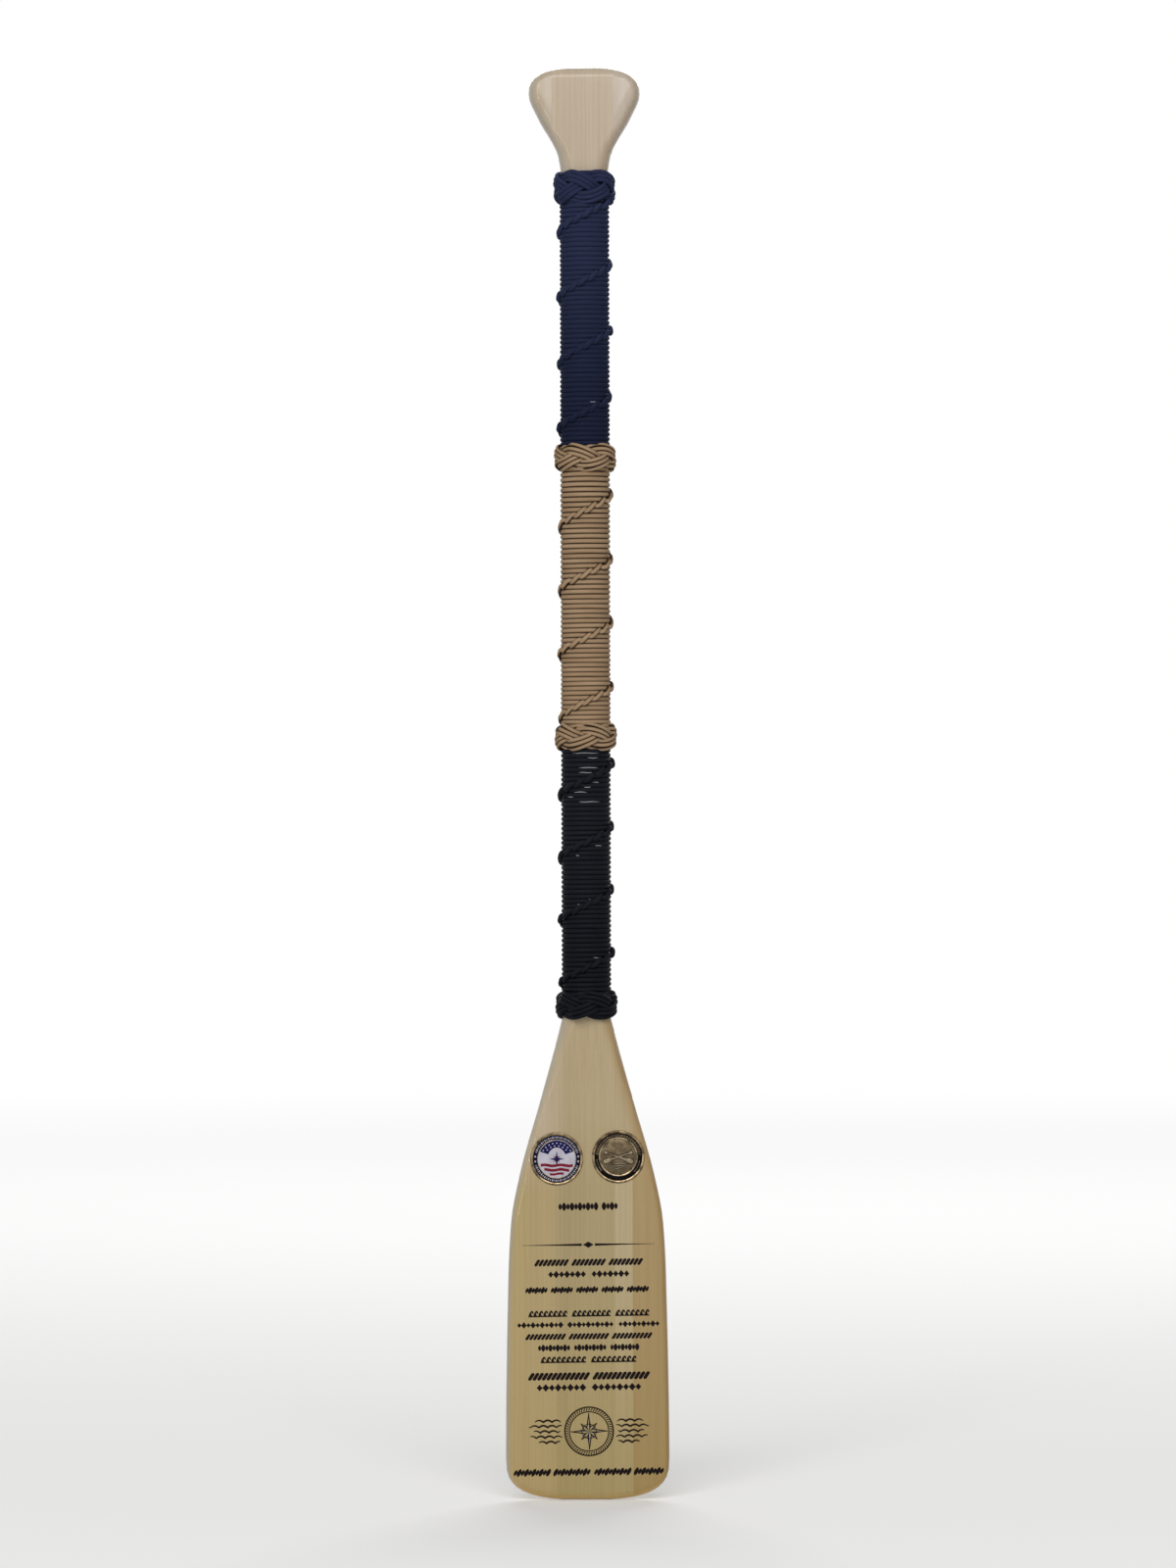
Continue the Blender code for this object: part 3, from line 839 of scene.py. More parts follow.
def sheath_tree() -> Group:
    """Builds the tree that lays a round or flattened cord along a line of points.

    Returns:
        The tree. Each point's outward attribute says which way the cord's flat side looks.
    """
    group = Group("cord along a path", "GeometryNodeTree",
                  {"Geometry": (SHAPE, None), "Width": (FLOAT, 0.004), "Thickness": (FLOAT, 0.004),
                   "Sides": (WHOLE, 10), "Material": (MATERIAL, None)}, {"Geometry": SHAPE})
    bench, inlet = group.bench, group.inlet
    line = bench.step("GeometryNodeMeshToCurve", {0: inlet["Geometry"]})
    facing = bench.recall("outward", "FLOAT_VECTOR")
    line = bench.step("GeometryNodeSetCurveNormal", {"Curve": line, "Normal": facing}, mode="FREE")
    length = bench.add("GeometryNodeSplineParameter").outputs["Length"]
    line = bench.store(line, "along", length, "FLOAT", "POINT")
    ring = bench.step("GeometryNodeCurvePrimitiveCircle", {"Resolution": inlet["Sides"], "Radius": 0.5})
    half_turn = (0.0, 0.0, math.pi)
    size = bench.joined(X=inlet["Thickness"], Y=inlet["Width"], Z=1.0)
    ring = bench.step("GeometryNodeTransform", {"Geometry": ring, "Rotation": half_turn})
    ring = bench.step("GeometryNodeTransform", {"Geometry": ring, "Scale": size})
    share = bench.add("GeometryNodeSplineParameter").outputs["Factor"]
    ring = bench.store(ring, "around", share, "FLOAT", "POINT")
    tube = bench.step("GeometryNodeCurveToMesh", {"Curve": line, "Profile Curve": ring, "Fill Caps": True})
    spot = bench.joined(X=bench.recall("along", "FLOAT"), Y=bench.recall("around", "FLOAT"), Z=0.0)
    tube = bench.store(tube, "UVMap", spot, "FLOAT2", "CORNER")
    for spent in ("along", "around", "outward"):
        tube = bench.step("GeometryNodeRemoveAttribute", {"Geometry": tube, "Name": spent})
    tube = bench.step("GeometryNodeSetShadeSmooth", {"Geometry": tube, "Shade Smooth": True})
    tube = bench.step("GeometryNodeRealizeInstances", {"Geometry": tube})
    tube = bench.step("GeometryNodeSetMaterial", {"Geometry": tube, "Material": inlet["Material"]})
    group.give("Geometry", tube)
    return group


def put_out_marks(group: Group, points: Socket, index: Socket, extra: dict[str, object],
                  turn: object = (0.0, 0.0, 0.0)) -> None:
    """Puts a tree's mark on points, small on every so many of them, and puts the marks out.

    Args:
        group: the tree.
        points: where the marks go.
        index: each point's number.
        extra: the other inputs of Instance on Points.
        turn: how all the marks are turned about the origin.
    """
    bench, inlet = group.bench, group.inlet
    small = bench.math("LESS_THAN", bench.math("MODULO", index, inlet["Small Every"]), 0.5)
    size = bench.step("ShaderNodeMix", {0: small, 2: 1.0, 3: inlet["Small Size"]}, data_type="FLOAT")
    size = bench.joined(X=size, Y=1.0, Z=size)
    inputs = {"Points": points, "Instance": inlet["Geometry"], "Scale": size, **extra}
    marks = bench.step("GeometryNodeRealizeInstances", {0: bench.step("GeometryNodeInstanceOnPoints", inputs)})
    place = {"Geometry": marks, "Translation": inlet["Middle"], "Rotation": turn}
    marks = bench.step("GeometryNodeTransform", place)
    marks = bench.step("GeometryNodeSetMaterial", {"Geometry": marks, "Material": inlet["Material"]})
    group.give("Geometry", marks)


def row_tree() -> Group:
    """Builds the tree that repeats a printed mark along a row, with gaps between groups of marks.

    Returns:
        The tree.
    """
    group = Group("row of marks", "GeometryNodeTree",
                  {"Geometry": (SHAPE, None), "Marks": (WHOLE, 12), "Row Width": (FLOAT, 0.1),
                   "Gap Every": (WHOLE, 6), "Small Every": (WHOLE, 2), "Small Size": (FLOAT, 0.7),
                   "Middle": (VECTOR, None), "Tilt": (FLOAT, 0.0), "Material": (MATERIAL, None)},
                  {"Geometry": SHAPE})
    bench, inlet = group.bench, group.inlet
    step = bench.math("DIVIDE", inlet["Row Width"], bench.math("SUBTRACT", inlet["Marks"], 1.0))
    start = bench.joined(X=bench.times(inlet["Row Width"], -0.5))
    offset = bench.joined(X=step)
    points = bench.step("GeometryNodeMeshLine", {"Count": inlet["Marks"], "Start Location": start,
                                                 "Offset": offset}, mode="OFFSET")
    index = bench.add("GeometryNodeInputIndex").outputs[0]
    turn = bench.math("MODULO", bench.math("ADD", index, 1.0), inlet["Gap Every"])
    kept = bench.math("GREATER_THAN", turn, 0.5)
    lean = bench.joined(Y=bench.times(inlet["Tilt"], -1.0))
    put_out_marks(group, points, index, {"Selection": kept}, lean)
    return group


def ring_tree() -> Group:
    """Builds the tree that repeats a mark round an arc in the blade's plane.

    Returns:
        The tree. A mark's own up points away from the arc's middle.
    """
    group = Group("ring of marks", "GeometryNodeTree",
                  {"Geometry": (SHAPE, None), "Marks": (WHOLE, 12), "Radius": (FLOAT, 0.018),
                   "Start": (FLOAT, 0.0), "Sweep": (FLOAT, math.tau), "Small Every": (WHOLE, 2),
                   "Small Size": (FLOAT, 1.0), "Middle": (VECTOR, None), "Material": (MATERIAL, None)},
                  {"Geometry": SHAPE})
    bench, inlet = group.bench, group.inlet
    points = bench.step("GeometryNodeMeshLine", {"Count": inlet["Marks"]}, mode="OFFSET")
    index = bench.add("GeometryNodeInputIndex").outputs[0]
    share = bench.math("DIVIDE", index, inlet["Marks"])
    angle = bench.math("MULTIPLY_ADD", share, inlet["Sweep"], inlet["Start"])
    across = bench.times(bench.math("COSINE", angle), inlet["Radius"])
    up = bench.times(bench.math("SINE", angle), inlet["Radius"])
    place = bench.joined(X=across, Z=up)
    points = bench.step("GeometryNodeSetPosition", {"Geometry": points, "Position": place})
    turn = bench.joined(Y=bench.math("SUBTRACT", math.pi / 2, angle))
    put_out_marks(group, points, index, {"Rotation": turn})
    return group


class Trees:
    """The geometry trees that the pieces share, each built once."""

    def __init__(self) -> None:
        """Builds every tree."""
        self.sheath = sheath_tree()
        self.row = row_tree()
        self.ring = ring_tree()


def slab(outline: Sequence[Point], back: float, front: float, inset: float = 0.0) -> Drawn:
    """Makes a closed flat slab in the blade's plane from an outline.

    Args:
        outline: the corners, as x and z.
        back: the slab's y at the wood.
        front: the slab's y toward the looker.
        inset: how far the front's corners draw in toward the middle, as a share.

    Returns:
        The slab's points and faces.
    """
    count = len(outline)
    middle = np.mean(np.array(outline), axis=0)
    near = [tuple(np.array(corner) + (middle - np.array(corner)) * inset) for corner in outline]
    points = [(x, back, z) for x, z in outline] + [(x, front, z) for x, z in near]
    faces = [tuple(range(count)), tuple(range(2 * count - 1, count - 1, -1))]
    faces += [(i, count + i, count + (i + 1) % count, (i + 1) % count) for i in range(count)]
    return points, faces


def stroke(path: Sequence[Point], widths: Sequence[float], back: float, front: float) -> Drawn:
    """Makes a closed pen stroke in the blade's plane along a path.

    Args:
        path: the points it follows, as x and z.
        widths: its width at each point.
        back: its y at the wood.
        front: its y toward the looker.

    Returns:
        The stroke's points and faces.
    """
    line = np.array(path, dtype=float)
    ahead = np.gradient(line, axis=0)
    ahead /= np.linalg.norm(ahead, axis=1, keepdims=True)
    side = np.stack([-ahead[:, 1], ahead[:, 0]], axis=1) * np.array(widths)[:, None] / 2
    upper = line + side
    lower = line - side
    points = []
    for (x_up, z_up), (x_low, z_low) in zip(upper, lower, strict=True):
        points += [(x_up, back, z_up), (x_up, front, z_up), (x_low, front, z_low), (x_low, back, z_low)]
    faces = [(3, 2, 1, 0)]
    for i in range(len(line) - 1):
        here, there = 4 * i, 4 * i + 4
        faces += [(here + j, here + (j + 1) % 4, there + (j + 1) % 4, there + j) for j in range(4)]
    last = 4 * (len(line) - 1)
    faces.append((last, last + 1, last + 2, last + 3))
    return points, faces


class Shapes:
    """Gathers slabs and strokes into one mesh."""

    def __init__(self) -> None:
        """Starts with nothing."""
        self.points: list[tuple] = []
        self.faces: list[tuple] = []

    def take(self, made: Drawn) -> None:
        """Adds a slab or a stroke.

        Args:
            made: its points and faces.
        """
        start = len(self.points)
        self.points += made[0]
        self.faces += [tuple(start + corner for corner in face) for face in made[1]]

    def build(self, name: str, material: Material | None = None) -> Thing:
        """Makes the object.

        Args:
            name: its name.
            material: its material, if it has one yet.

        Returns:
            The object, shaded with its faces outward.
        """
        thing = new_object(name, self.points, self.faces)
        shade(thing, 30.0)
        if material:
            dress(thing, material)
        return thing


class Motif(Enum):
    """The small shapes that the print and the coins repeat."""

    DIAMOND = "diamond"
    LEAF = "leaf"
    BEAD = "bead"
    TWIST = "twist"
    CREST = "crest"
    TICK = "tick"


ROUND = [math.tau * i / 16 for i in range(16)]
OUTLINES = {
    Motif.DIAMOND: [(0.0, 0.5), (-0.24, 0.24), (-0.5, 0.0), (-0.24, -0.24), (0.0, -0.5), (0.24, -0.24), (0.5, 0.0),
                    (0.24, 0.24)],
    Motif.LEAF: [(0.5 * math.cos(turn) * abs(math.cos(turn)) ** 0.4, 0.5 * math.sin(turn)) for turn in ROUND],
    Motif.BEAD: [(0.5 * math.cos(turn), 0.5 * math.sin(turn)) for turn in ROUND],
    Motif.TWIST: [(-0.5, -0.28), (-0.36, -0.5), (-0.04, -0.44), (0.3, 0.02), (0.5, 0.28), (0.36, 0.5), (0.04, 0.44),
                  (-0.3, -0.02)],
    Motif.CREST: [(-0.5, -0.5), (-0.3, 0.06), (0.0, 0.42), (0.3, 0.5), (0.5, 0.24), (0.44, -0.02), (0.26, 0.02),
                  (0.22, 0.2), (0.1, 0.1), (0.14, -0.22), (0.44, -0.34), (0.5, -0.5)],
    Motif.TICK: [(-0.5, -0.5), (0.5, -0.5), (0.36, 0.5), (-0.36, 0.5)],
}


def motif_outline(motif: Motif, width: float, height: float, lean: float = 0.0) -> list[Point]:
    """Gives the outline of a small shape.

    Args:
        motif: which shape.
        width: its width.
        height: its height.
        lean: how far its top leans to the right, as a share of its height.

    Returns:
        The corners, as x and z.
    """
    return [(x * width + z * height * lean, z * height) for x, z in OUTLINES[motif]]


def mark(motif: Motif, width: float, height: float, back: float, front: float, lean: float = 0.0,
         inset: float = 0.0) -> Thing:
    """Makes one small closed mark at the origin, for a tree to repeat.

    Args:
        motif: its shape.
        width: its width.
        height: its height.
        back: its y at the wood or metal.
        front: its y toward the looker.
        lean: how far its top leans to the right.
        inset: how far its front draws in.

    Returns:
        The mark's object.
    """
    shapes = Shapes()
    shapes.take(slab(motif_outline(motif, width, height, lean), back, front, inset))
    return shapes.build("mark")


@dataclass
class Stave:
    """One glued piece of the blank."""

    node: str
    piece: str
    slot: str
    finish: WoodFinish


@dataclass
class Blank:
    """The varnished wood: seven staves whose glued sides meet."""

    staves: list[Stave]
    joints: tuple[float, ...] = (-50.0 * MM, -26.6 * MM, 23.6 * MM, 38.7 * MM)
    joint_gap: float = 0.16 * MM
    blur: float = 0.8 * MM
    same_way: float = 0.8

    def build(self, effects: Effects) -> None:
        """Builds and dresses every stave.

        Args:
            effects: the shared groups.
        """
        things = [self.closed_up(stave) for stave in self.staves]
        self.smooth_across(things)
        for stave, thing in zip(self.staves, things, strict=True):
            dress(thing, stave.finish.material(effects))
            hand_over(thing, [stave.node])

    def closed_up(self, stave: Stave) -> Thing:
        """Copies a CAD stave, merges it and moves its glued sides onto the joints.

        Args:
            stave: the stave.

        Returns:
            The stave's new object.
        """
        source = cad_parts[stave.node]
        mesh = source.data.copy()
        mesh.transform(source.matrix_world)
        thing = put_in(stave.piece, mesh)
        work = bmesh.new()
        work.from_mesh(mesh)
        bmesh.ops.remove_doubles(work, verts=work.verts, dist=CAD_TOUCH)
        for vertex in work.verts:
            for joint in self.joints:
                if abs(vertex.co.x - joint) < self.joint_gap:
                    vertex.co.x = joint
        work.to_mesh(mesh)
        work.free()
        shade(thing, 180.0)
        return thing

    def smooth_across(self, things: Sequence[Thing]) -> None:
        """Shades the varnished faces smooth across the joints, so that the gloss runs on unbroken.

        Args:
            things: the staves.
        """
        corners: Path = []
        for thing in things:
            mesh = thing.data
            for face in mesh.polygons:
                if not self.glued(mesh, face):
                    corners += [(mesh.vertices[i].co.copy(), face.normal * face.area) for i in face.vertices]
        tree = KDTree(len(corners))
        for number, (place, _) in enumerate(corners):
            tree.insert(place, number)
        tree.balance()
        for thing in things:
            mesh = thing.data
            normals = []
            for face in mesh.polygons:
                for i in face.vertices:
                    total = face.normal * 1e-12
                    if not self.glued(mesh, face):
                        for _, number, _ in tree.find_range(mesh.vertices[i].co, self.blur):
                            weighed = corners[number][1]
                            if weighed.dot(face.normal) > self.same_way * weighed.length:
                                total = total + weighed
                    normals.append(total.normalized())
            mesh.normals_split_custom_set(normals)

    def glued(self, mesh: bpy.types.Mesh, face: bpy.types.MeshPolygon) -> bool:
        """Tells whether a face lies on a glued joint."""
        sides = [mesh.vertices[i].co.x for i in face.vertices]
        return any(all(abs(side - joint) < CAD_TOUCH for side in sides) for joint in self.joints)


def oval(angle: float, offset: float) -> tuple[Vector, Vector]:
    """Gives a place round the shaft.

    Args:
        angle: round the shaft from the right side, through the back.
        offset: how far outside the wood.

    Returns:
        The place at height 0 and the way outward there.
    """
    across, deep = SHAFT_HALF_WIDTH + offset, SHAFT_HALF_DEPTH + offset
    place = Vector((across * math.cos(angle), SHAFT_MIDDLE + deep * math.sin(angle), 0.0))
    outward = Vector((math.cos(angle) / across, math.sin(angle) / deep, 0.0)).normalized()
    return place, outward


def lay_cord(name: str, paths: Sequence[Path], width: float, thickness: float,
             material: Material, trees: Trees, sides: int = 12) -> Thing:
    """Lays cord along paths with the shared tree.

    Args:
        name: the object's name.
        paths: for each length of cord, its points and the way outward at each.
        width: the cord's width along the surface.
        thickness: its thickness off the surface.
        material: its material.
        trees: the shared trees.
        sides: how many sides its section has.

    Returns:
        The cord's object.
    """
    points = [place for path in paths for place, _ in path]
    outward = [way for path in paths for _, way in path]
    edges = []
    start = 0
    for path in paths:
        edges += [(start + i, start + i + 1) for i in range(len(path) - 1)]
        start += len(path)
    thing = new_object(name, points, (), edges)
    attribute = thing.data.attributes.new("outward", "FLOAT_VECTOR", "POINT")
    attribute.data.foreach_set("vector", np.array(outward, dtype=np.float32).ravel())
    grow(thing, trees.sheath, {"Width": width, "Thickness": thickness, "Sides": sides, "Material": material})
    return thing


@dataclass
class Binding:
    """A stretch of the shaft bound with half hitches, whose hitches climb it as a spiral ridge."""

    node: str
    piece: str
    slot: str
    foot: float
    top: float
    turns: int
    ridge_pitch: float
    ridge_at: float
    seed: int
    pitch_growth: float = 0.0
    cord_offset: float = 3.3 * MM
    thickness: float = 4.1 * MM
    overlap: float = 1.03
    looseness: float = 0.05 * MM
    hitch_lift: float = 3.1 * MM
    hitch_reach: float = math.radians(24.0)
    hitch_swing: float = 0.55
    hitch_foot: float = 0.68
    hitch_lean: float = 0.15
    ridge_bend: float = 0.1
    turn_rise: float = 0.1
    under_foot: float = 5.4 * MM
    under_top: float = 5.4 * MM
    tuck_depth: float = 2.2 * MM
    tuck_shift: float = 3.0 * MM
    tuck_steps: int = 5
    level_steps: int = 28
    hitch_steps: int = 20
    glint_steps: int = 13
    glint_width: float = 0.55 * MM
    glint_thickness: float = 0.45 * MM
    # Painted glints in the grooves: height, left end and right end in mm
    pale_threads: tuple[Triple, ...] = ()

    def levels(self) -> np.ndarray:
        """Works out how high the turns lie.

        Returns:
            The height of each turn, and one more.
        """
        share = np.linspace(0.0, 1.0, self.turns + 1)
        eased = share + self.pitch_growth * (share * share - share)
        foot, top = self.foot - self.under_foot, self.top + self.under_top
        return foot + (top - foot) * (eased + 0.5 / self.turns * (1.0 - self.pitch_growth))

    def path(self) -> Path:
        """Works out the cord's whole path.

        Returns:
            Its points and the way outward at each.
        """
        rng = np.random.default_rng(self.seed)
        levels = self.levels()
        hitch_heights = (levels[:-1] + levels[1:]) / 2
        climb = math.tau * (hitch_heights - self.ridge_at) / self.ridge_pitch
        hitches = climb + self.ridge_bend * np.sin(2 * climb) + math.tau * np.arange(self.turns)
        wobble = rng.normal(0.0, self.looseness, (self.turns + 1, 4))
        steps: list[Triple] = []
        first = hitches[0] - math.tau
        for turn in range(self.turns):
            last = hitches[turn - 1] if turn else first
            begin, end = last + self.hitch_reach, hitches[turn] - self.hitch_reach
            for share in np.linspace(0.0, 1.0, self.level_steps, endpoint=False):
                angle = begin + (end - begin) * share
                drift = wobble[turn, 0] * math.sin(angle) + wobble[turn, 1] * math.cos(2 * angle)
                rise = (levels[turn + 1] - levels[turn]) * self.turn_rise * (2 * share - 1) + drift
                steps.append((angle, levels[turn] + rise, wobble[turn, 2] * math.sin(angle + turn)))
            if turn < self.turns - 1:
                steps += self.hitch(hitches[turn], levels[turn], levels[turn + 1], 1.0 + 4 * wobble[turn, 3] / MM)
        return self.tucked(steps)

    def hitch(self, middle: float, low: float, high: float, size: float) -> list[Triple]:
        """Works out one half hitch, which climbs steeply over its own turn.

        Args:
            middle: the angle of its middle.
            low: the height of the turn that it leaves.
            high: the height of the turn that it starts.
            size: how big this hitch is beside the usual one.

        Returns:
            For each step its angle, height and lift.
        """
        steps = []
        rise = high - low
        for place in np.linspace(-1.0, 1.0, self.hitch_steps, endpoint=False):
            eased = (place + 1) / 2
            eased = eased * eased * (3 - 2 * eased)
            edge = self.turn_rise * rise * (1.0 - eased * 2)
            swing = self.hitch_swing * rise * math.sin(math.pi * place) * (1.0 - place * place)
            bulge = max(0.0, 1.0 - abs(place / self.hitch_foot) ** 3)
            lift = self.hitch_lift * size * bulge * (1.0 - self.hitch_lean * place)
            steps.append((middle + place * self.hitch_reach, low + rise * eased + edge + swing, lift))
        return steps

    def tucked(self, steps: Sequence[Triple]) -> Path:
        """Turns steps into points and tucks both ends of the cord under the knots.

        Args:
            steps: for each step its angle, height and lift.

        Returns:
            The points and the way outward at each.
        """
        path = []
        count = len(steps)
        for number, (angle, height, lift) in enumerate(steps):
            near_foot = max(0.0, 1.0 - number / self.tuck_steps)
            near_top = max(0.0, 1.0 - (count - 1 - number) / self.tuck_steps)
            sink = self.tuck_depth * max(near_foot, near_top) ** 2
            place, outward = oval(angle, self.cord_offset + lift - sink)
            place.z = height - self.tuck_shift * near_foot**2 + self.tuck_shift * near_top**2
            path.append((place, outward))
        return path

    def build(self, material: Material, trees: Trees) -> None:
        """Winds the cord.

        Args:
            material: the cord's finish.
            trees: the shared trees.
        """
        width = (self.top - self.foot + self.under_foot + self.under_top) / self.turns * self.overlap
        thing = lay_cord(self.piece, [self.path()], width, self.thickness, material, trees)
        hand_over(thing, [self.node])

    def build_threads(self, material: Material, trees: Trees) -> None:
        """Lays painted glints, pale strips in the grooves between turns.

        Args:
            material: their finish.
            trees: the shared trees.
        """
        levels = self.levels()
        grooves = (levels[:-1] + levels[1:]) / 2
        paths = []
        for height, left, right in self.pale_threads:
            groove = float(grooves[np.argmin(np.abs(grooves - height * MM))])
            reach = SHAFT_HALF_WIDTH + self.cord_offset
            path = []
            for share in np.linspace(0.0, 1.0, self.glint_steps):
                across = (left + (right - left) * share) * MM
                rise = (0.35 + 0.95 * math.sin(math.pi * share)) * MM
                place, outward = oval(-math.acos(across / reach), self.cord_offset + rise)
                place.z = groove + 0.15 * MM * math.sin(9 * share + height)
                path.append((place, outward))
            paths.append(path)
        thing = lay_cord(self.piece + "_threads", paths, self.glint_width, self.glint_thickness, material, trees,
                         sides=6)
        hand_over(thing)


@dataclass
class Knot:
    """A Turk's head of three leads and five bights, followed round three times."""

    node: str
    piece: str
    slot: str
    foot: float
    top: float
    first_bight: float
    foot_spread: float = 0.0
    top_spread: float = 0.0
    leads: int = 3
    bights: int = 5
    strand: float = 3.6 * MM
    strand_thickness: float = 3.5 * MM
    overlap: float = 1.02
    seat: float = 7.3 * MM
    weave: float = 1.75 * MM
    shoulder: float = 3.2 * MM
    steps: int = 330
    margin: float = 0.6
    foundation_gap: float = 0.3 * MM
    foundation_steps: int = 26
    tuck_depth: float = 2.6 * MM
    tuck_steps: int = 5

    def strand_path(self, aside: float) -> Path:
        """Works out one of the parallel strands.

        Args:
            aside: how far it lies beside the middle strand.

        Returns:
            Its points and the way outward at each.
        """
        swing = (self.top - self.foot) / 2 - self.strand * 1.5
        turns = np.linspace(0.0, math.tau, self.steps + 2)
        middle: Path = []
        for turn in turns:
            over = math.tanh(2.0 * math.sin(2 * self.bights * turn)) / math.tanh(2.0 * 0.866)
            place, outward = oval(self.leads * turn + self.first_bight, self.seat + self.weave * over)
            place.z = (self.top + self.foot) / 2 + swing * math.cos(self.bights * turn)
            middle.append((place, outward))
        path = []
        for i in range(1, len(middle) - 1):
            ahead = (middle[i + 1][0] - middle[i - 1][0]).normalized()
            place, outward = middle[i]
            path.append(self.rounded(place + outward.cross(ahead).normalized() * aside, outward))
        path.append(path[0])
        return path

    def rounded(self, place: Vector, outward: Vector) -> tuple[Vector, Vector]:
        """Draws a point near the knot's edges in toward the shaft, so that the knot is barrel shaped.

        Args:
            place: the point.
            outward: the way outward there.

        Returns:
            The moved point and its own way outward.
        """
        half = (self.top - self.foot) / 2 - self.strand / 2
        share = (place.z - (self.top + self.foot) / 2) / half
        slope = 4 * self.shoulder * abs(share) ** 3 / half
        tilted = (outward + Vector((0.0, 0.0, math.copysign(slope, share)))).normalized()
        return place - outward * self.shoulder * share**4, tilted

    def foundation_path(self) -> Path:
        """Works out the plain turns under the braid.

        Returns:
            The points and the way outward at each.
        """
        path = []
        height = self.top - self.foot - 2 * self.margin * self.strand
        turns = round(height / self.strand)
        last = turns * self.foundation_steps
        for i in range(last + 1):
            share = i / last
            spread = self.foot_spread * (1 - share) ** 2 + self.top_spread * share**2
            tuck = max(0.0, 1.0 - min(i, last - i) / self.tuck_steps) ** 2 * self.tuck_depth
            place, outward = oval(math.tau * turns * share, self.strand * 0.5 + self.foundation_gap + spread - tuck)
            place.z = self.foot + self.margin * self.strand + height * share - math.copysign(tuck, share - 0.5)
            path.append((place, outward))
        return path

    def build(self, material: Material, trees: Trees) -> None:
        """Braids the knot.

        Args:
            material: the cord's finish.
            trees: the shared trees.
        """
        strands = [self.strand_path(aside * self.strand) for aside in (-1.0, 0.0, 1.0)]
        strands.append(self.foundation_path())
        thing = lay_cord(self.piece, strands, self.strand * self.overlap, self.strand_thickness, material, trees)
        hand_over(thing, [self.node])


@dataclass(frozen=True)
class MarkRing:
    """Marks of one kind round part of a coin, with sizes in mm and angles in degrees."""

    name: str
    motif: Motif
    width: float
    height: float
    marks: int
    start: float
    sweep: float
    inset: float = 0.0
    small: float = 1.0
    reach: float = 1.0
    finish: str = "white enamel"
    slot: str = "white_enamel"


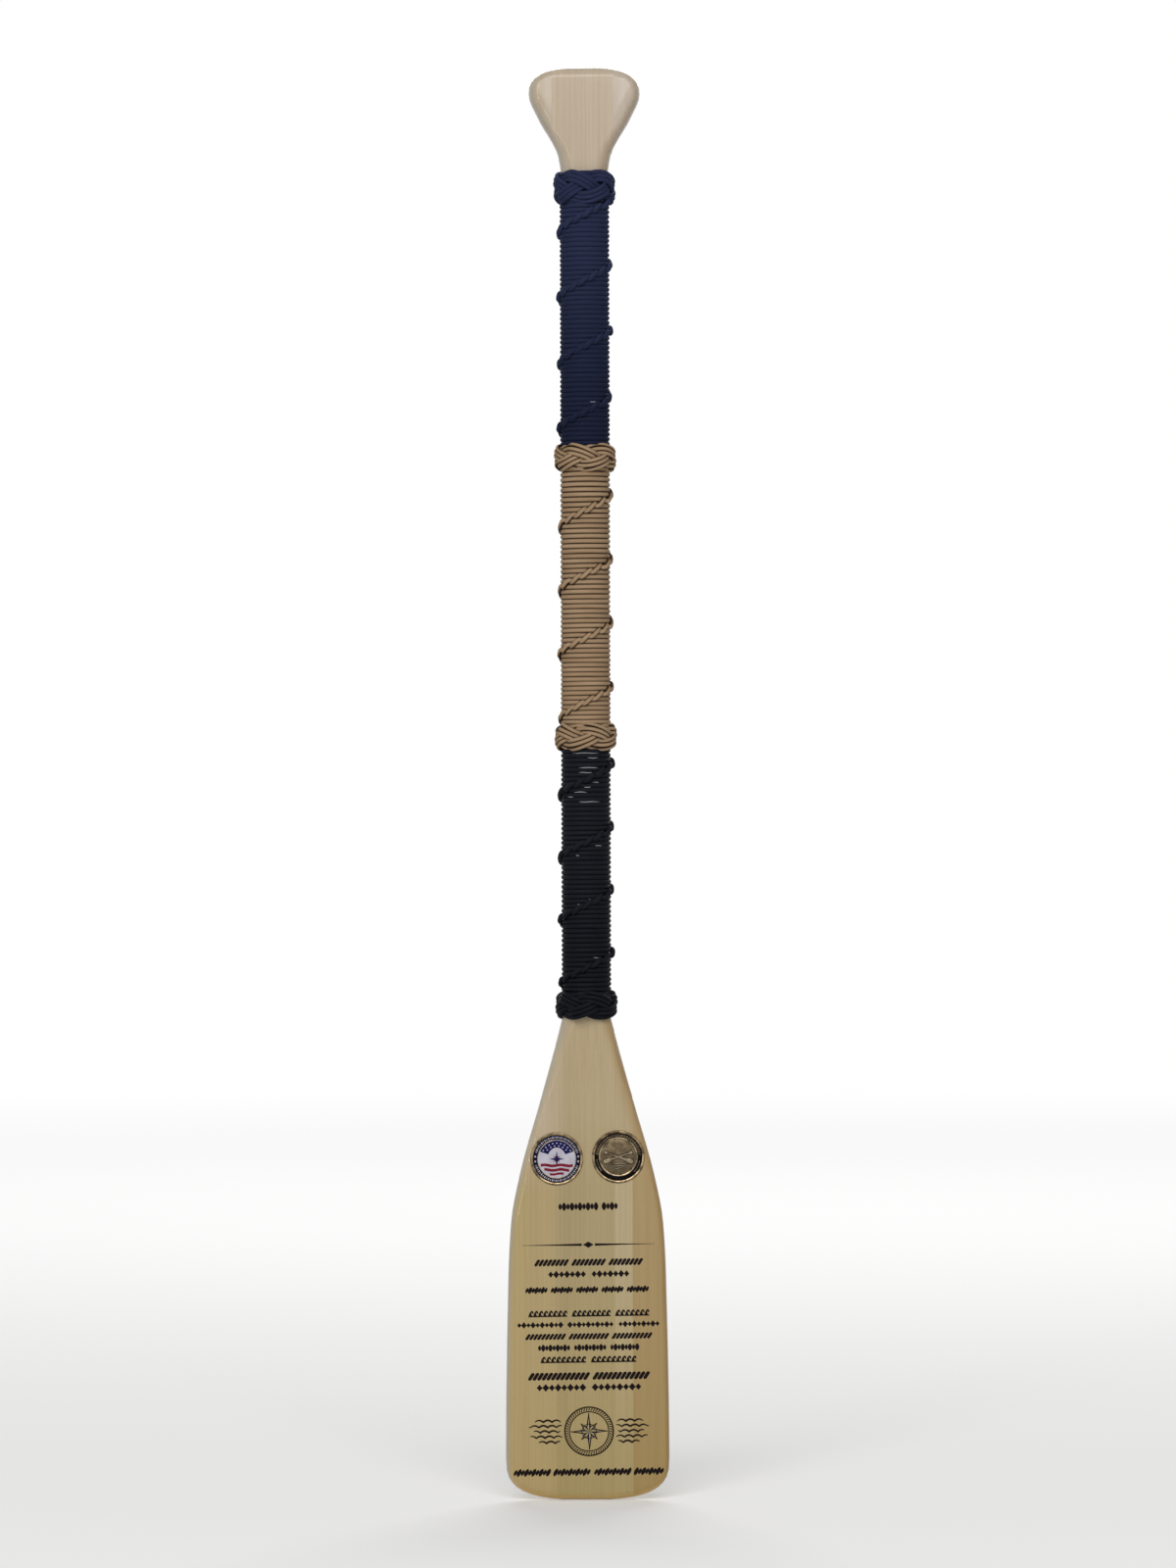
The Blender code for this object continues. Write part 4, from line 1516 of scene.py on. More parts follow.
@dataclass
class Coin:
    """A struck coin let into the blade."""

    middle: Point
    slot: str
    rim_radius: float = 22.22 * MM
    band_outer: float = 20.1 * MM
    band_inner: float = 16.7 * MM
    field_radius: float = 16.1 * MM
    front: float = -13.0 * MM
    floor: float = -12.3 * MM
    back: float = -10.0 * MM
    segments: int = 128

    def lathe(self, name: str, profile: Sequence[Point], material: Material, slot: str,
              nodes: Sequence[str] = ()) -> None:
        """Turns a closed profile about the coin's axis and hands the piece over.

        Args:
            name: the piece's name.
            profile: radius and y of each corner, which starts and ends on the axis, or else goes all round a ring.
            material: its material.
            slot: its material slot; not used.
            nodes: the CAD nodes that it stands for.
        """
        closed_ring = profile[0][0] > 0
        points: list[Triple] = []
        rows: list[list[int]] = []
        for radius, depth in profile:
            if radius == 0:
                rows.append([len(points)] * self.segments)
                points.append((self.middle[0], depth, self.middle[1]))
                continue
            row = []
            for i in range(self.segments):
                angle = math.tau * i / self.segments
                row.append(len(points))
                points.append((self.middle[0] + radius * math.cos(angle), depth,
                               self.middle[1] + radius * math.sin(angle)))
            rows.append(row)
        if closed_ring:
            rows.append(rows[0])
        faces = []
        for first, second in zip(rows, rows[1:], strict=False):
            for i in range(self.segments):
                j = (i + 1) % self.segments
                faces.append(list(dict.fromkeys((first[i], first[j], second[j], second[i]))))
        thing = new_object(name, points, faces)
        shade(thing, 40.0)
        dress(thing, material)
        hand_over(thing, nodes)

    def struck_profile(self) -> list[Point]:
        """Works out the coin's own profile: field, divider, band and rounded rim.

        Returns:
            Radius and y of each corner.
        """
        front, floor = self.front, self.floor
        round_off = 0.35 * MM
        rim = [(self.rim_radius - round_off * (1 - math.cos(turn)), front + round_off * (1 - math.sin(turn)))
               for turn in (1.57, 1.2, 0.8, 0.4, 0.0)]
        return [(0.0, floor), (self.field_radius, floor), (self.field_radius + 0.1 * MM, front + 0.15 * MM),
                (self.field_radius + 0.3 * MM, front + 0.05 * MM), (self.band_inner - 0.08 * MM, front + 0.15 * MM),
                (self.band_inner, floor), (self.band_outer, floor),
                (self.band_outer + 0.12 * MM, front + 0.25 * MM), (self.band_outer + 0.45 * MM, front), *rim,
                (self.rim_radius, self.back + 0.2 * MM), (self.rim_radius - 0.2 * MM, self.back), (0.0, self.back)]

    def ring_profile(self, inner: float, outer: float, top: float) -> list[Point]:
        """Gives the profile of a thin ring of enamel that dips in the middle."""
        waist = (inner + outer) / 2
        return [(inner, self.floor), (inner, top), (waist, top + 0.04 * MM), (outer, top), (outer, self.floor)]

    def disc_profile(self, radius: float, top: float) -> list[Point]:
        """Gives the profile of a thin disc of enamel."""
        return [(0.0, top), (radius * 0.6, top), (radius - 0.1 * MM, top + 0.02 * MM), (radius, top + 0.08 * MM),
                (radius, self.floor), (0.0, self.floor)]

    def place(self, outline: Sequence[Point]) -> list[Point]:
        """Moves an outline from the coin's middle to its place on the blade."""
        return [(x + self.middle[0], z + self.middle[1]) for x, z in outline]

    def clip(self, outline: Sequence[Point], radius: float) -> list[Point]:
        """Draws the corners that lie outside a radius in to it.

        Args:
            outline: the corners.
            radius: how far out they may lie.

        Returns:
            The corners, none further out.
        """
        kept = []
        for x, z in outline:
            reach = math.hypot(x, z)
            pull = min(1.0, radius / reach) if reach else 1.0
            kept.append((x * pull, z * pull))
        return kept

    def build_rings(self, rings: Sequence[MarkRing], radius: float, back: float, top: float,
                    finishes: Finishes, trees: Trees) -> None:
        """Repeats marks round the coin.

        Args:
            rings: the rings of marks.
            radius: how far out they lie, for a reach of 1.
            back: the marks' y at the metal.
            top: their y toward the looker.
            finishes: the materials by name.
            trees: the shared trees.
        """
        for ring in rings:
            thing = mark(ring.motif, ring.width * MM, ring.height * MM, back, top, inset=ring.inset)
            thing.name = ring.name
            grow(thing, trees.ring, {"Marks": ring.marks, "Radius": radius * ring.reach, "Small Size": ring.small,
                                     "Start": math.radians(ring.start), "Sweep": math.radians(ring.sweep),
                                     "Middle": (self.middle[0], 0.0, self.middle[1]),
                                     "Material": finishes[ring.finish]})
            hand_over(thing)


def star(points: int, outer: float, inner: float, turned: float = 0.0) -> list[Point]:
    """Gives a star's outline.

    Args:
        points: how many points it has.
        outer: the radius of its points.
        inner: the radius between them.
        turned: the angle by which it is turned.

    Returns:
        The corners, as x and z.
    """
    corners = []
    for i in range(2 * points):
        radius = inner if i % 2 else outer
        angle = math.pi / 2 + turned + math.pi * i / points
        corners.append((radius * math.cos(angle), radius * math.sin(angle)))
    return corners


@dataclass
class EnamelledCoin(Coin):
    """The left coin: a gold rim, a navy band with white marks and a bright enamelled middle."""

    enamel_top: float = -12.72 * MM
    mark_top: float = -12.86 * MM
    waves: tuple[Pair, ...] = ((-5.4, 2.4), (-9.2, 2.4), (-12.7, 1.9))
    band_marks: tuple[MarkRing, ...] = (
        MarkRing("left_coin_marks_above", Motif.LEAF, 0.9, 2.2, 27, 18.0, 148.5, small=0.74),
        MarkRing("left_coin_marks_below", Motif.LEAF, 0.9, 2.2, 27, 198.0, 148.5, small=0.74),
        MarkRing("left_coin_beads_right", Motif.BEAD, 1.6, 1.6, 2, -6.5, 26.0, inset=0.15),
        MarkRing("left_coin_beads_left", Motif.BEAD, 1.6, 1.6, 2, 173.5, 26.0, inset=0.15),
    )
    arch_marks: tuple[MarkRing, ...] = (
        MarkRing("left_coin_arch_beads_outer", Motif.BEAD, 1.25, 1.25, 9, 32.0, 130.0, inset=0.15, reach=0.86),
        MarkRing("left_coin_arch_beads_inner", Motif.BEAD, 1.25, 1.25, 6, 44.0, 110.0, inset=0.15, reach=0.71),
    )

    def wavy_bar(self, height: float, thickness: float, reach: float) -> list[Point]:
        """Gives the outline of a wavy bar across the coin.

        Args:
            height: its height above the coin's middle.
            thickness: how thick it is.
            reach: how far it goes to either side.

        Returns:
            The corners, as x and z.
        """
        across = np.linspace(-reach, reach, 25)
        wave = 0.45 * MM * np.sin(across / (2.2 * MM))
        upper = [(x, height + thickness / 2 + rise) for x, rise in zip(across, wave, strict=True)]
        lower = [(x, height - thickness / 2 + rise) for x, rise in zip(across, wave, strict=True)]
        return upper + lower[::-1]

    def build(self, finishes: Finishes, trees: Trees) -> None:
        """Builds and dresses the coin.

        Args:
            finishes: the materials by name.
            trees: the shared trees.
        """
        self.lathe("left_coin_metal", self.struck_profile(), finishes["gold"], self.slot, ["left_coin"])
        profile = self.ring_profile(self.band_inner, self.band_outer, self.enamel_top)
        self.lathe("left_coin_band", profile, finishes["midnight enamel"], "navy_enamel", ["left_coin_band_enamel"])
        profile = self.disc_profile(self.field_radius, self.enamel_top)
        self.lathe("left_coin_field", profile, finishes["white enamel"], "white_enamel",
                   ["left_coin_centre_enamel"])
        back, radius = self.enamel_top + 0.1 * MM, (self.band_inner + self.band_outer) / 2
        self.build_rings(self.band_marks, radius, back, self.mark_top, finishes, trees)
        radius = self.field_radius - 0.35 * MM
        self.build_arch(radius, back, finishes["navy enamel"])
        self.build_waves(radius, back, finishes["red enamel"])
        self.build_rings(self.arch_marks, radius, self.enamel_top, self.mark_top - 0.02 * MM, finishes, trees)

    def build_arch(self, radius: float, back: float, navy: Material) -> None:
        """Puts an arch over the middle, and a compass star under it.

        Args:
            radius: the arch's own radius.
            back: its y at the metal.
            navy: its enamel.
        """
        arch = Shapes()
        turns = np.linspace(math.radians(24), math.radians(156), 31)
        outer = [(radius * math.cos(turn), radius * math.sin(turn)) for turn in turns]
        inner = [(0.5 * radius * math.cos(turn), 0.62 * radius * math.sin(turn)) for turn in turns]
        for i in range(len(turns) - 1):
            piece = [outer[i], outer[i + 1], inner[i + 1], inner[i]]
            arch.take(slab(self.place(piece), back, self.enamel_top - 0.05 * MM))
        arch.take(slab(self.place(star(4, 6.4 * MM, 1.5 * MM)), back, self.mark_top))
        hand_over(arch.build("left_coin_arch", navy))

    def build_waves(self, radius: float, back: float, red: Material) -> None:
        """Puts waves across the lower half, and the star's diagonal points.

        Args:
            radius: how far out the waves go.
            back: their y at the metal.
            red: their enamel.
        """
        waves = Shapes()
        for height, thickness in self.waves:
            reach = math.sqrt(max(0.0, (radius / MM) ** 2 - (abs(height) + thickness) ** 2)) * MM
            bar = self.wavy_bar(height * MM, thickness * MM, reach)
            waves.take(slab(self.place(self.clip(bar, radius)), back, self.enamel_top - 0.05 * MM))
        waves.take(slab(self.place(star(4, 4.2 * MM, 1.2 * MM, math.pi / 4)), back, self.enamel_top - 0.05 * MM))
        hand_over(waves.build("left_coin_waves", red))


@dataclass
class AntiqueCoin(Coin):
    """The right coin: antique gold with a black band, raised ticks and a relief on a blasted field."""

    enamel_top: float = -12.66 * MM
    ring_inner: float = 15.1 * MM
    paddles: tuple[Pair, ...] = ((19.0, -12.62 * MM), (161.0, -12.72 * MM))
    water: tuple[Pair, ...] = ((-5.6, 9.5), (-7.6, 7.4), (-9.6, 4.8))
    band_marks: tuple[MarkRing, ...] = (
        MarkRing("right_coin_crests_above", Motif.CREST, 2.0, 2.5, 26, 8.0, 170.0, inset=0.08, small=0.85,
                 finish="antique gold", slot="antique_gold"),
        MarkRing("right_coin_dashes_left", Motif.TICK, 1.1, 0.55, 8, 188.0, 34.0, inset=0.1,
                 finish="bright gold", slot="antique_gold"),
        MarkRing("right_coin_dashes_right", Motif.TICK, 1.1, 0.55, 8, 318.0, 34.0, inset=0.1,
                 finish="bright gold", slot="antique_gold"),
    )

    def struck_profile(self) -> list[Point]:
        """Works out the coin's own profile, with a broad bright ring inside the band.

        Returns:
            Radius and y of each corner.
        """
        front, floor = self.front, self.floor
        plain = super().struck_profile()
        ring = [(0.0, floor - 0.1 * MM), (self.ring_inner, floor - 0.1 * MM),
                (self.ring_inner + 0.25 * MM, front + 0.2 * MM), (self.ring_inner + 0.7 * MM, front + 0.04 * MM),
                (self.band_inner - 0.35 * MM, front + 0.08 * MM), (self.band_inner - 0.08 * MM, front + 0.25 * MM)]
        return ring + plain[5:]

    def paddle(self, turned: float, spread: float) -> list[Point]:
        """Gives the outline of a small paddle, turned about its middle.

        Args:
            turned: the angle by which it is turned from lying flat.
            spread: how much broader it is than the plain outline, in mm.

        Returns:
            The corners, as x and z.
        """
        half = [(-13.0, 0.9), (-12.4, 1.7), (-9.0, 1.9), (-6.4, 1.2), (-4.6, 0.55), (9.6, 0.5), (10.4, 1.1),
                (11.8, 1.3), (12.4, 0.6)]
        half = [(x + math.copysign(spread * 0.6, x), z + spread) for x, z in half]
        outline = half + [(x, -z) for x, z in reversed(half)]
        cosine, sine = math.cos(turned), math.sin(turned)
        return [((x * cosine - z * sine) * MM, (x * sine + z * cosine) * MM) for x, z in outline]

    def build(self, finishes: Finishes, trees: Trees) -> None:
        """Builds and dresses the coin.

        Args:
            finishes: the materials by name.
            trees: the shared trees.
        """
        self.lathe("right_coin_metal", self.struck_profile(), finishes["gold"], self.slot, ["right_coin"])
        blasted = [(0.0, self.floor - 0.14 * MM), (self.ring_inner - 0.2 * MM, self.floor - 0.14 * MM),
                   (self.ring_inner - 0.1 * MM, self.floor - 0.08 * MM), (0.0, self.floor - 0.08 * MM)]
        self.lathe("right_coin_blasted_field", blasted, finishes["antique gold"], self.slot)
        profile = self.ring_profile(self.band_inner, self.band_outer, self.enamel_top)
        self.lathe("right_coin_band", profile, finishes["black enamel"], "black_enamel", ["right_coin_band_enamel"])
        polished = [(self.ring_inner + 0.3 * MM, self.front + 0.25 * MM), (self.ring_inner + 0.7 * MM, self.front),
                    (self.band_inner - 0.4 * MM, self.front), (self.band_inner - 0.12 * MM, self.front + 0.25 * MM)]
        self.lathe("right_coin_polished_ring", polished, finishes["bright gold"], self.slot)
        radius = (self.band_inner + self.band_outer) / 2
        back, top = self.enamel_top + 0.15 * MM, self.front + 0.05 * MM
        self.build_rings(self.band_marks, radius, back, top, finishes, trees)
        self.build_relief("right_coin_relief_shade", finishes["dark patina"], 0.75, 0.0)
        self.build_relief("right_coin_relief", finishes["bright gold"], 0.0, 0.12 * MM)

    def build_relief(self, name: str, metal: Material, spread: float, rise: float) -> None:
        """Raises crossed paddles and lines of water on the field.

        Args:
            name: the object's name.
            metal: its metal.
            spread: how much broader the shapes are than their plain outline, in mm.
            rise: how much further they stand out than the patina round them.
        """
        relief = Shapes()
        back = self.floor - 0.1 * MM
        for turned, top in self.paddles:
            relief.take(slab(self.place(self.paddle(math.radians(turned), spread)), back, top - rise))
        for height, reach in self.water:
            across = np.linspace(-reach, reach, 25) * MM
            path = [(x + self.middle[0], self.middle[1] + height * MM + 0.4 * MM * math.sin(x / (0.9 * MM)))
                    for x in across]
            widths = (0.55 + spread * 1.4) * MM * np.sqrt(np.maximum(0.05, 1 - (across / (reach * MM)) ** 2))
            relief.take(stroke(path, widths, back, -12.56 * MM - rise))
        hand_over(relief.build(name, metal))


@dataclass
class PrintRow:
    """One row of printed marks, with places and sizes in mm."""

    height: float
    middle: float
    width: float
    motif: Motif
    marks: int
    gap_every: int
    tall: float = 4.0
    broad: float = 3.0
    lean: float = 0.0
    small: float = 0.75


@dataclass
class Print:
    """The ink on the blade: rows of generic ornament, a divider and a compass between waves."""

    rows: list[PrintRow] = field(default_factory=lambda: [
        PrintRow(85.0, 0.8, 47.5, Motif.LEAF, 15, 11, 7.0, 3.9),
        PrintRow(37.5, 1.2, 87.5, Motif.TWIST, 26, 9, 6.0, 5.2, 0.0, 1.0),
        PrintRow(27.5, 1.2, 64.5, Motif.DIAMOND, 15, 8, 6.6, 5.4, 0.0, 0.85),
        PrintRow(14.2, 1.2, 105.0, Motif.LEAF, 40, 8, 6.0, 3.3, 0.3),
        PrintRow(-5.8, 1.2, 98.5, Motif.CREST, 25, 9, 5.6, 4.6, 0.0, 1.0),
        PrintRow(-15.4, 0.8, 117.5, Motif.DIAMOND, 31, 11, 5.8, 4.9, 0.0, 0.75),
        PrintRow(-25.4, 1.2, 103.5, Motif.TWIST, 32, 11, 5.4, 4.8, 0.0, 1.0),
        PrintRow(-35.0, 0.8, 83.0, Motif.LEAF, 28, 10, 6.0, 3.5),
        PrintRow(-45.0, 0.8, 77.0, Motif.CREST, 19, 10, 5.6, 4.7, 0.0, 1.0),
        PrintRow(-59.2, 1.2, 98.0, Motif.TWIST, 26, 14, 6.8, 6.0, 0.0, 1.0),
        PrintRow(-68.8, 1.2, 84.0, Motif.DIAMOND, 17, 9, 6.8, 6.0, 0.0, 0.85),
        PrintRow(-140.8, 0.8, 124.5, Motif.LEAF, 41, 11, 6.8, 3.7, 0.4),
    ])
    tilt: float = math.radians(0.7)
    back: float = BLADE_FACE + 0.05 * MM
    front: float = BLADE_FACE - 0.05 * MM
    divider_middle: Point = (0.9 * MM, 52.5 * MM)
    drawing_middle: Point = (1.2 * MM, -106.3 * MM)
    compass_rings: tuple[Pair, ...] = ((20.6, 1.3), (16.7, 1.0), (6.2, 0.6))
    compass_reach: Pair = (15.6 * MM, 9.6 * MM)
    compass_waist: float = 4.4 * MM
    waves: tuple[Triple, ...] = ((24.0, 46.0, 8.0), (23.0, 51.0, 3.5), (24.5, 47.0, -1.0),
                                                     (23.0, 50.0, -5.5), (24.5, 43.0, -10.0))

    def build(self, finishes: Finishes, trees: Trees) -> None:
        """Prints everything.

        Args:
            finishes: the materials by name.
            trees: the shared trees.
        """
        ink = finishes["black ink"]
        for number, row in enumerate(self.rows, 1):
            shape = mark(row.motif, row.broad * MM, row.tall * MM, self.back, self.front, row.lean)
            shape.name = f"print_row_{number:02d}"
            grow(shape, trees.row, {"Marks": row.marks, "Row Width": row.width * MM, "Gap Every": row.gap_every,
                                    "Small Size": row.small, "Middle": (row.middle * MM, 0.0, row.height * MM),
                                    "Tilt": self.tilt, "Material": ink})
            hand_over(shape)
        self.build_divider(ink)
        self.build_drawing(finishes["brown ink"], finishes["navy ink"], trees)

    def tilted(self, outline: Sequence[Point], middle: Point) -> list[Point]:
        """Turns an outline by the print's tilt and moves it to its place."""
        cosine, sine = math.cos(self.tilt), math.sin(self.tilt)
        return [(middle[0] + x * cosine - z * sine, middle[1] + x * sine + z * cosine) for x, z in outline]

    def patch(self, outline: Sequence[Point], middle: Point) -> Drawn:
        """Fills an outline with ink at its place on the blade."""
        return slab(self.tilted(outline, middle), self.back, self.front)

    def line(self, path: Sequence[Point], widths: Sequence[float]) -> Drawn:
        """Draws a line of the drawing at its place on the blade."""
        return stroke(self.tilted(path, self.drawing_middle), widths, self.back, self.front)

    def build_divider(self, ink: Material) -> None:
        """Prints the tapered rule with a diamond in its middle.

        Args:
            ink: its ink.
        """
        shapes = Shapes()
        for side in (-1, 1):
            wedge = [(5.6, 1.1), (5.6, -1.1), (9.0, -0.95), (30.0, -0.5), (56.5, -0.12), (56.5, 0.12), (30.0, 0.5),
                     (9.0, 0.95)]
            outline = [(side * x * MM, z * MM) for x, z in wedge]
            shapes.take(self.patch(outline, self.divider_middle))
        diamond = [(x * 9.4 * MM, z * 5.4 * MM) for x, z in motif_outline(Motif.DIAMOND, 1.0, 1.0)]
        shapes.take(self.patch(diamond, self.divider_middle))
        hand_over(shapes.build("print_divider", ink))

    def build_drawing(self, ink: Material, navy: Material, trees: Trees) -> None:
        """Prints a compass between running waves.

        Args:
            ink: the line's ink.
            navy: the ink of the filled points.
            trees: the shared trees.
        """
        lines = Shapes()
        for radius, width in self.compass_rings:
            turns = np.linspace(0.0, math.tau, 65)
            ring = [(radius * math.cos(turn) * MM, radius * math.sin(turn) * MM) for turn in turns]
            lines.take(self.line(ring, [width * MM] * len(ring)))
        for side in (-1, 1):
            for row, (start, end, height) in enumerate(self.waves):
                lines.take(self.wave(side, start, end, height, row))
        filled = Shapes()
        for number in range(8):
            tip, filled_side, open_side = self.compass_point(number)
            lines.take(self.line([tip, (tip + open_side) / 2, open_side], [1.0 * MM] * 3))
            filled.take(self.patch([(0.0, 0.0), filled_side, tip], self.drawing_middle))
        hand_over(lines.build("print_compass_lines", ink))
        hand_over(filled.build("print_compass_points", navy))
        tick = mark(Motif.TWIST, 1.8 * MM, 2.6 * MM, self.back, self.front)
        tick.name = "print_compass_rope"
        grow(tick, trees.ring, {"Marks": 56, "Radius": 18.65 * MM, "Small Size": 1.0, "Material": ink,
                                "Middle": (self.drawing_middle[0], 0.0, self.drawing_middle[1])})
        hand_over(tick)

    def wave(self, side: int, start: float, end: float, height: float, row: int) -> Drawn:
        """Draws one running wave beside the compass.

        Args:
            side: -1 for the left, 1 for the right.
            start: where it starts, in mm from the middle.
            end: where it ends.
            height: its height in mm.
            row: its number, which shifts its crests.

        Returns:
            The stroke's points and faces.
        """
        across = np.linspace(start, end, 46)
        phase = (across - start) / 7.4 + 0.35 * row
        crest = 1.9 * np.abs(np.sin(math.pi * phase)) ** 0.7
        path = [(side * x * MM, (height + rise) * MM) for x, rise in zip(across, crest, strict=True)]
        share = np.linspace(0.0, 1.0, len(path))
        widths = (0.6 + 1.1 * np.sin(math.pi * share) ** 0.5) * MM
        return self.line(path, widths)

    def compass_point(self, number: int) -> tuple[np.ndarray, np.ndarray, np.ndarray]:
        """Works out one point of the compass.

        Args:
            number: which one, clockwise from the top.

        Returns:
            Its tip, its shoulder on the filled side and the one on the open side.
        """
        angle = math.pi / 2 - number * math.pi / 4
        tip = np.array([math.cos(angle), math.sin(angle)]) * self.compass_reach[number % 2]
        shoulders = [np.array([math.cos(angle + turn), math.sin(angle + turn)]) * self.compass_waist
                     for turn in (-math.pi / 8, math.pi / 8)]
        return tip, shoulders[0], shoulders[1]


@dataclass
class Lamp:
    """One soft lamp of the studio."""

    name: str
    place: Triple
    width: float
    height: float
    power: float


@dataclass
class Studio:
    """The pale floor, soft lamps, white surroundings and the camera."""

    aim: Triple = (0.0, 0.0, 0.44)
    camera_place: Triple = (1.75 * MM, -5.012, 0.4442)
    camera_roll: float = 0.0027
    lens: float = 135.0
    sensor: float = 36.0
    floor_height: float = -0.165
    floor_radius: float = 15.0
    floor_fade: Pair = (-2.0, 7.0)
    floor_colour: Colour = (0.92, 0.92, 0.91)
    ambient: float = 0.22
    lamps: list[Lamp] = field(default_factory=lambda: [
        Lamp("key_lamp", (-0.3, -4.2, 3.0), 4.4, 3.0, 174.0),
        Lamp("strip_lamp", (-1.9, -4.6, 0.9), 0.22, 2.0, 16.0),
        Lamp("back_lamp", (0.4, 4.2, 2.9), 4.4, 2.2, 133.0),
    ])

    def build(self) -> None:
        """Builds the studio."""
        bpy.context.scene.view_settings.view_transform = "Standard"
        self.build_camera()
        self.build_lamps()
        self.build_surroundings()
        self.build_floor()

    def build_camera(self) -> None:
        """Sets up the camera at the photograph's angle."""
        data = bpy.data.cameras.new("camera")
        data.lens = self.lens
        data.sensor_width = self.sensor
        data.dof.use_dof = False
        camera = put_in("camera", data)
        up = Vector((math.sin(self.camera_roll), 0.0, math.cos(self.camera_roll)))
        back = Vector((0.0, -1.0, 0.0))
        right = up.cross(back).normalized()
        turn = Matrix((right, back.cross(right), back)).transposed().to_4x4()
        camera.matrix_world = Matrix.Translation(self.camera_place) @ turn
        bpy.context.scene.camera = camera

    def build_lamps(self) -> None:
        """Hangs the lamps, each aimed at the middle of the paddle."""
        for lamp in self.lamps:
            data = bpy.data.lights.new(lamp.name, "AREA")
            data.shape = "RECTANGLE"
            data.size, data.size_y = lamp.width, lamp.height
            data.energy = lamp.power
            thing = put_in(lamp.name, data)
            thing.location = lamp.place
            way = Vector(self.aim) - Vector(lamp.place)
            thing.rotation_euler = way.to_track_quat("-Z", "Y").to_euler()

    def build_surroundings(self) -> None:
        """Makes the world white to the eye and in reflections, and a plain soft light otherwise."""
        world = bpy.data.worlds.new("surroundings")
        world.use_nodes = True
        bench = Bench(world.node_tree)
        shader = next(node for node in world.node_tree.nodes if node.type == "BACKGROUND")
        bench.feed(shader.inputs["Color"], (1.0, 1.0, 1.0))
        bench.feed(shader.inputs["Strength"], self.seen_white(bench))
        bpy.context.scene.world = world

    def seen_white(self, bench: Bench) -> Socket:
        """Gives the strength of the white beyond: 1 to the eye and in reflections, else the soft light's.

        Args:
            bench: the bench of the world or of a material.

        Returns:
            The strength.
        """
        rays = bench.add("ShaderNodeLightPath").outputs
        seen = bench.math("MAXIMUM", rays["Is Camera Ray"], rays["Is Glossy Ray"])
        seen = bench.math("MAXIMUM", seen, rays["Is Transmission Ray"])
        return bench.spread(seen, 0.0, 1.0, self.ambient, 1.0)

    def build_floor(self) -> None:
        """Lays the floor, which takes shadows near the paddle and fades into the white beyond."""
        work = bmesh.new()
        bmesh.ops.create_circle(work, cap_ends=True, segments=96, radius=self.floor_radius)
        for vertex in work.verts:
            vertex.co.z = self.floor_height
        mesh = bpy.data.meshes.new("floor")
        work.to_mesh(mesh)
        work.free()
        floor = put_in("floor", mesh)
        material, bench, shader = new_material("pale floor", {"Roughness": 0.9, "Specular IOR Level": 0.0})
        far = bench.spread(bench.vector("LENGTH", bench.own_place()), *self.floor_fade)
        black, white = (0.0, 0.0, 0.0), (1.0, 1.0, 1.0)
        bench.feed(shader.inputs["Base Color"], bench.blend(far, self.floor_colour, black))
        bench.feed(shader.inputs["Emission Color"], bench.blend(far, black, white))
        bench.feed(shader.inputs["Emission Strength"], self.seen_white(bench))
        dress(floor, material)


def cord_finishes() -> dict[str, CordFinish]:
    """Chooses the finishes of the cords.

    Returns:
        Each cord's finish by its material slot, and that of the painted glints.
    """
    return {
        # The groove colours are painted shade on tan and painted light on navy; navy and black are also lighter
        # toward the top, as painted light
        "navy_cord": CordFinish("navy cord", (0.0150, 0.0190, 0.0450), (0.0185, 0.0232, 0.0545),
                                (0.0265, 0.0335, 0.0780), roughness=0.6, gloss=0.03, painted_light_falloff=(0.73, 0.94, 0.66, 1.28)),
        "tan_cord": CordFinish("tan cord", (0.262, 0.168, 0.092), (0.425, 0.297, 0.186), (0.030, 0.013, 0.005),
                               roughness=0.7, gloss=0.1),
        "black_cord": CordFinish("black cord", (0.0062, 0.0066, 0.0100), (0.0095, 0.0100, 0.0142),
                                 (0.0090, 0.0095, 0.0138), roughness=0.5, gloss=0.04,
                                 painted_light_falloff=(0.27, 0.42, 0.90, 1.24)),
        # Painted glints: pale strips that stand for light in the grooves
        "painted glints": CordFinish("painted glint strip", (0.36, 0.37, 0.39), (0.60, 0.61, 0.63), (0.24, 0.25, 0.27),
                           roughness=0.5, gloss=0.3),
    }


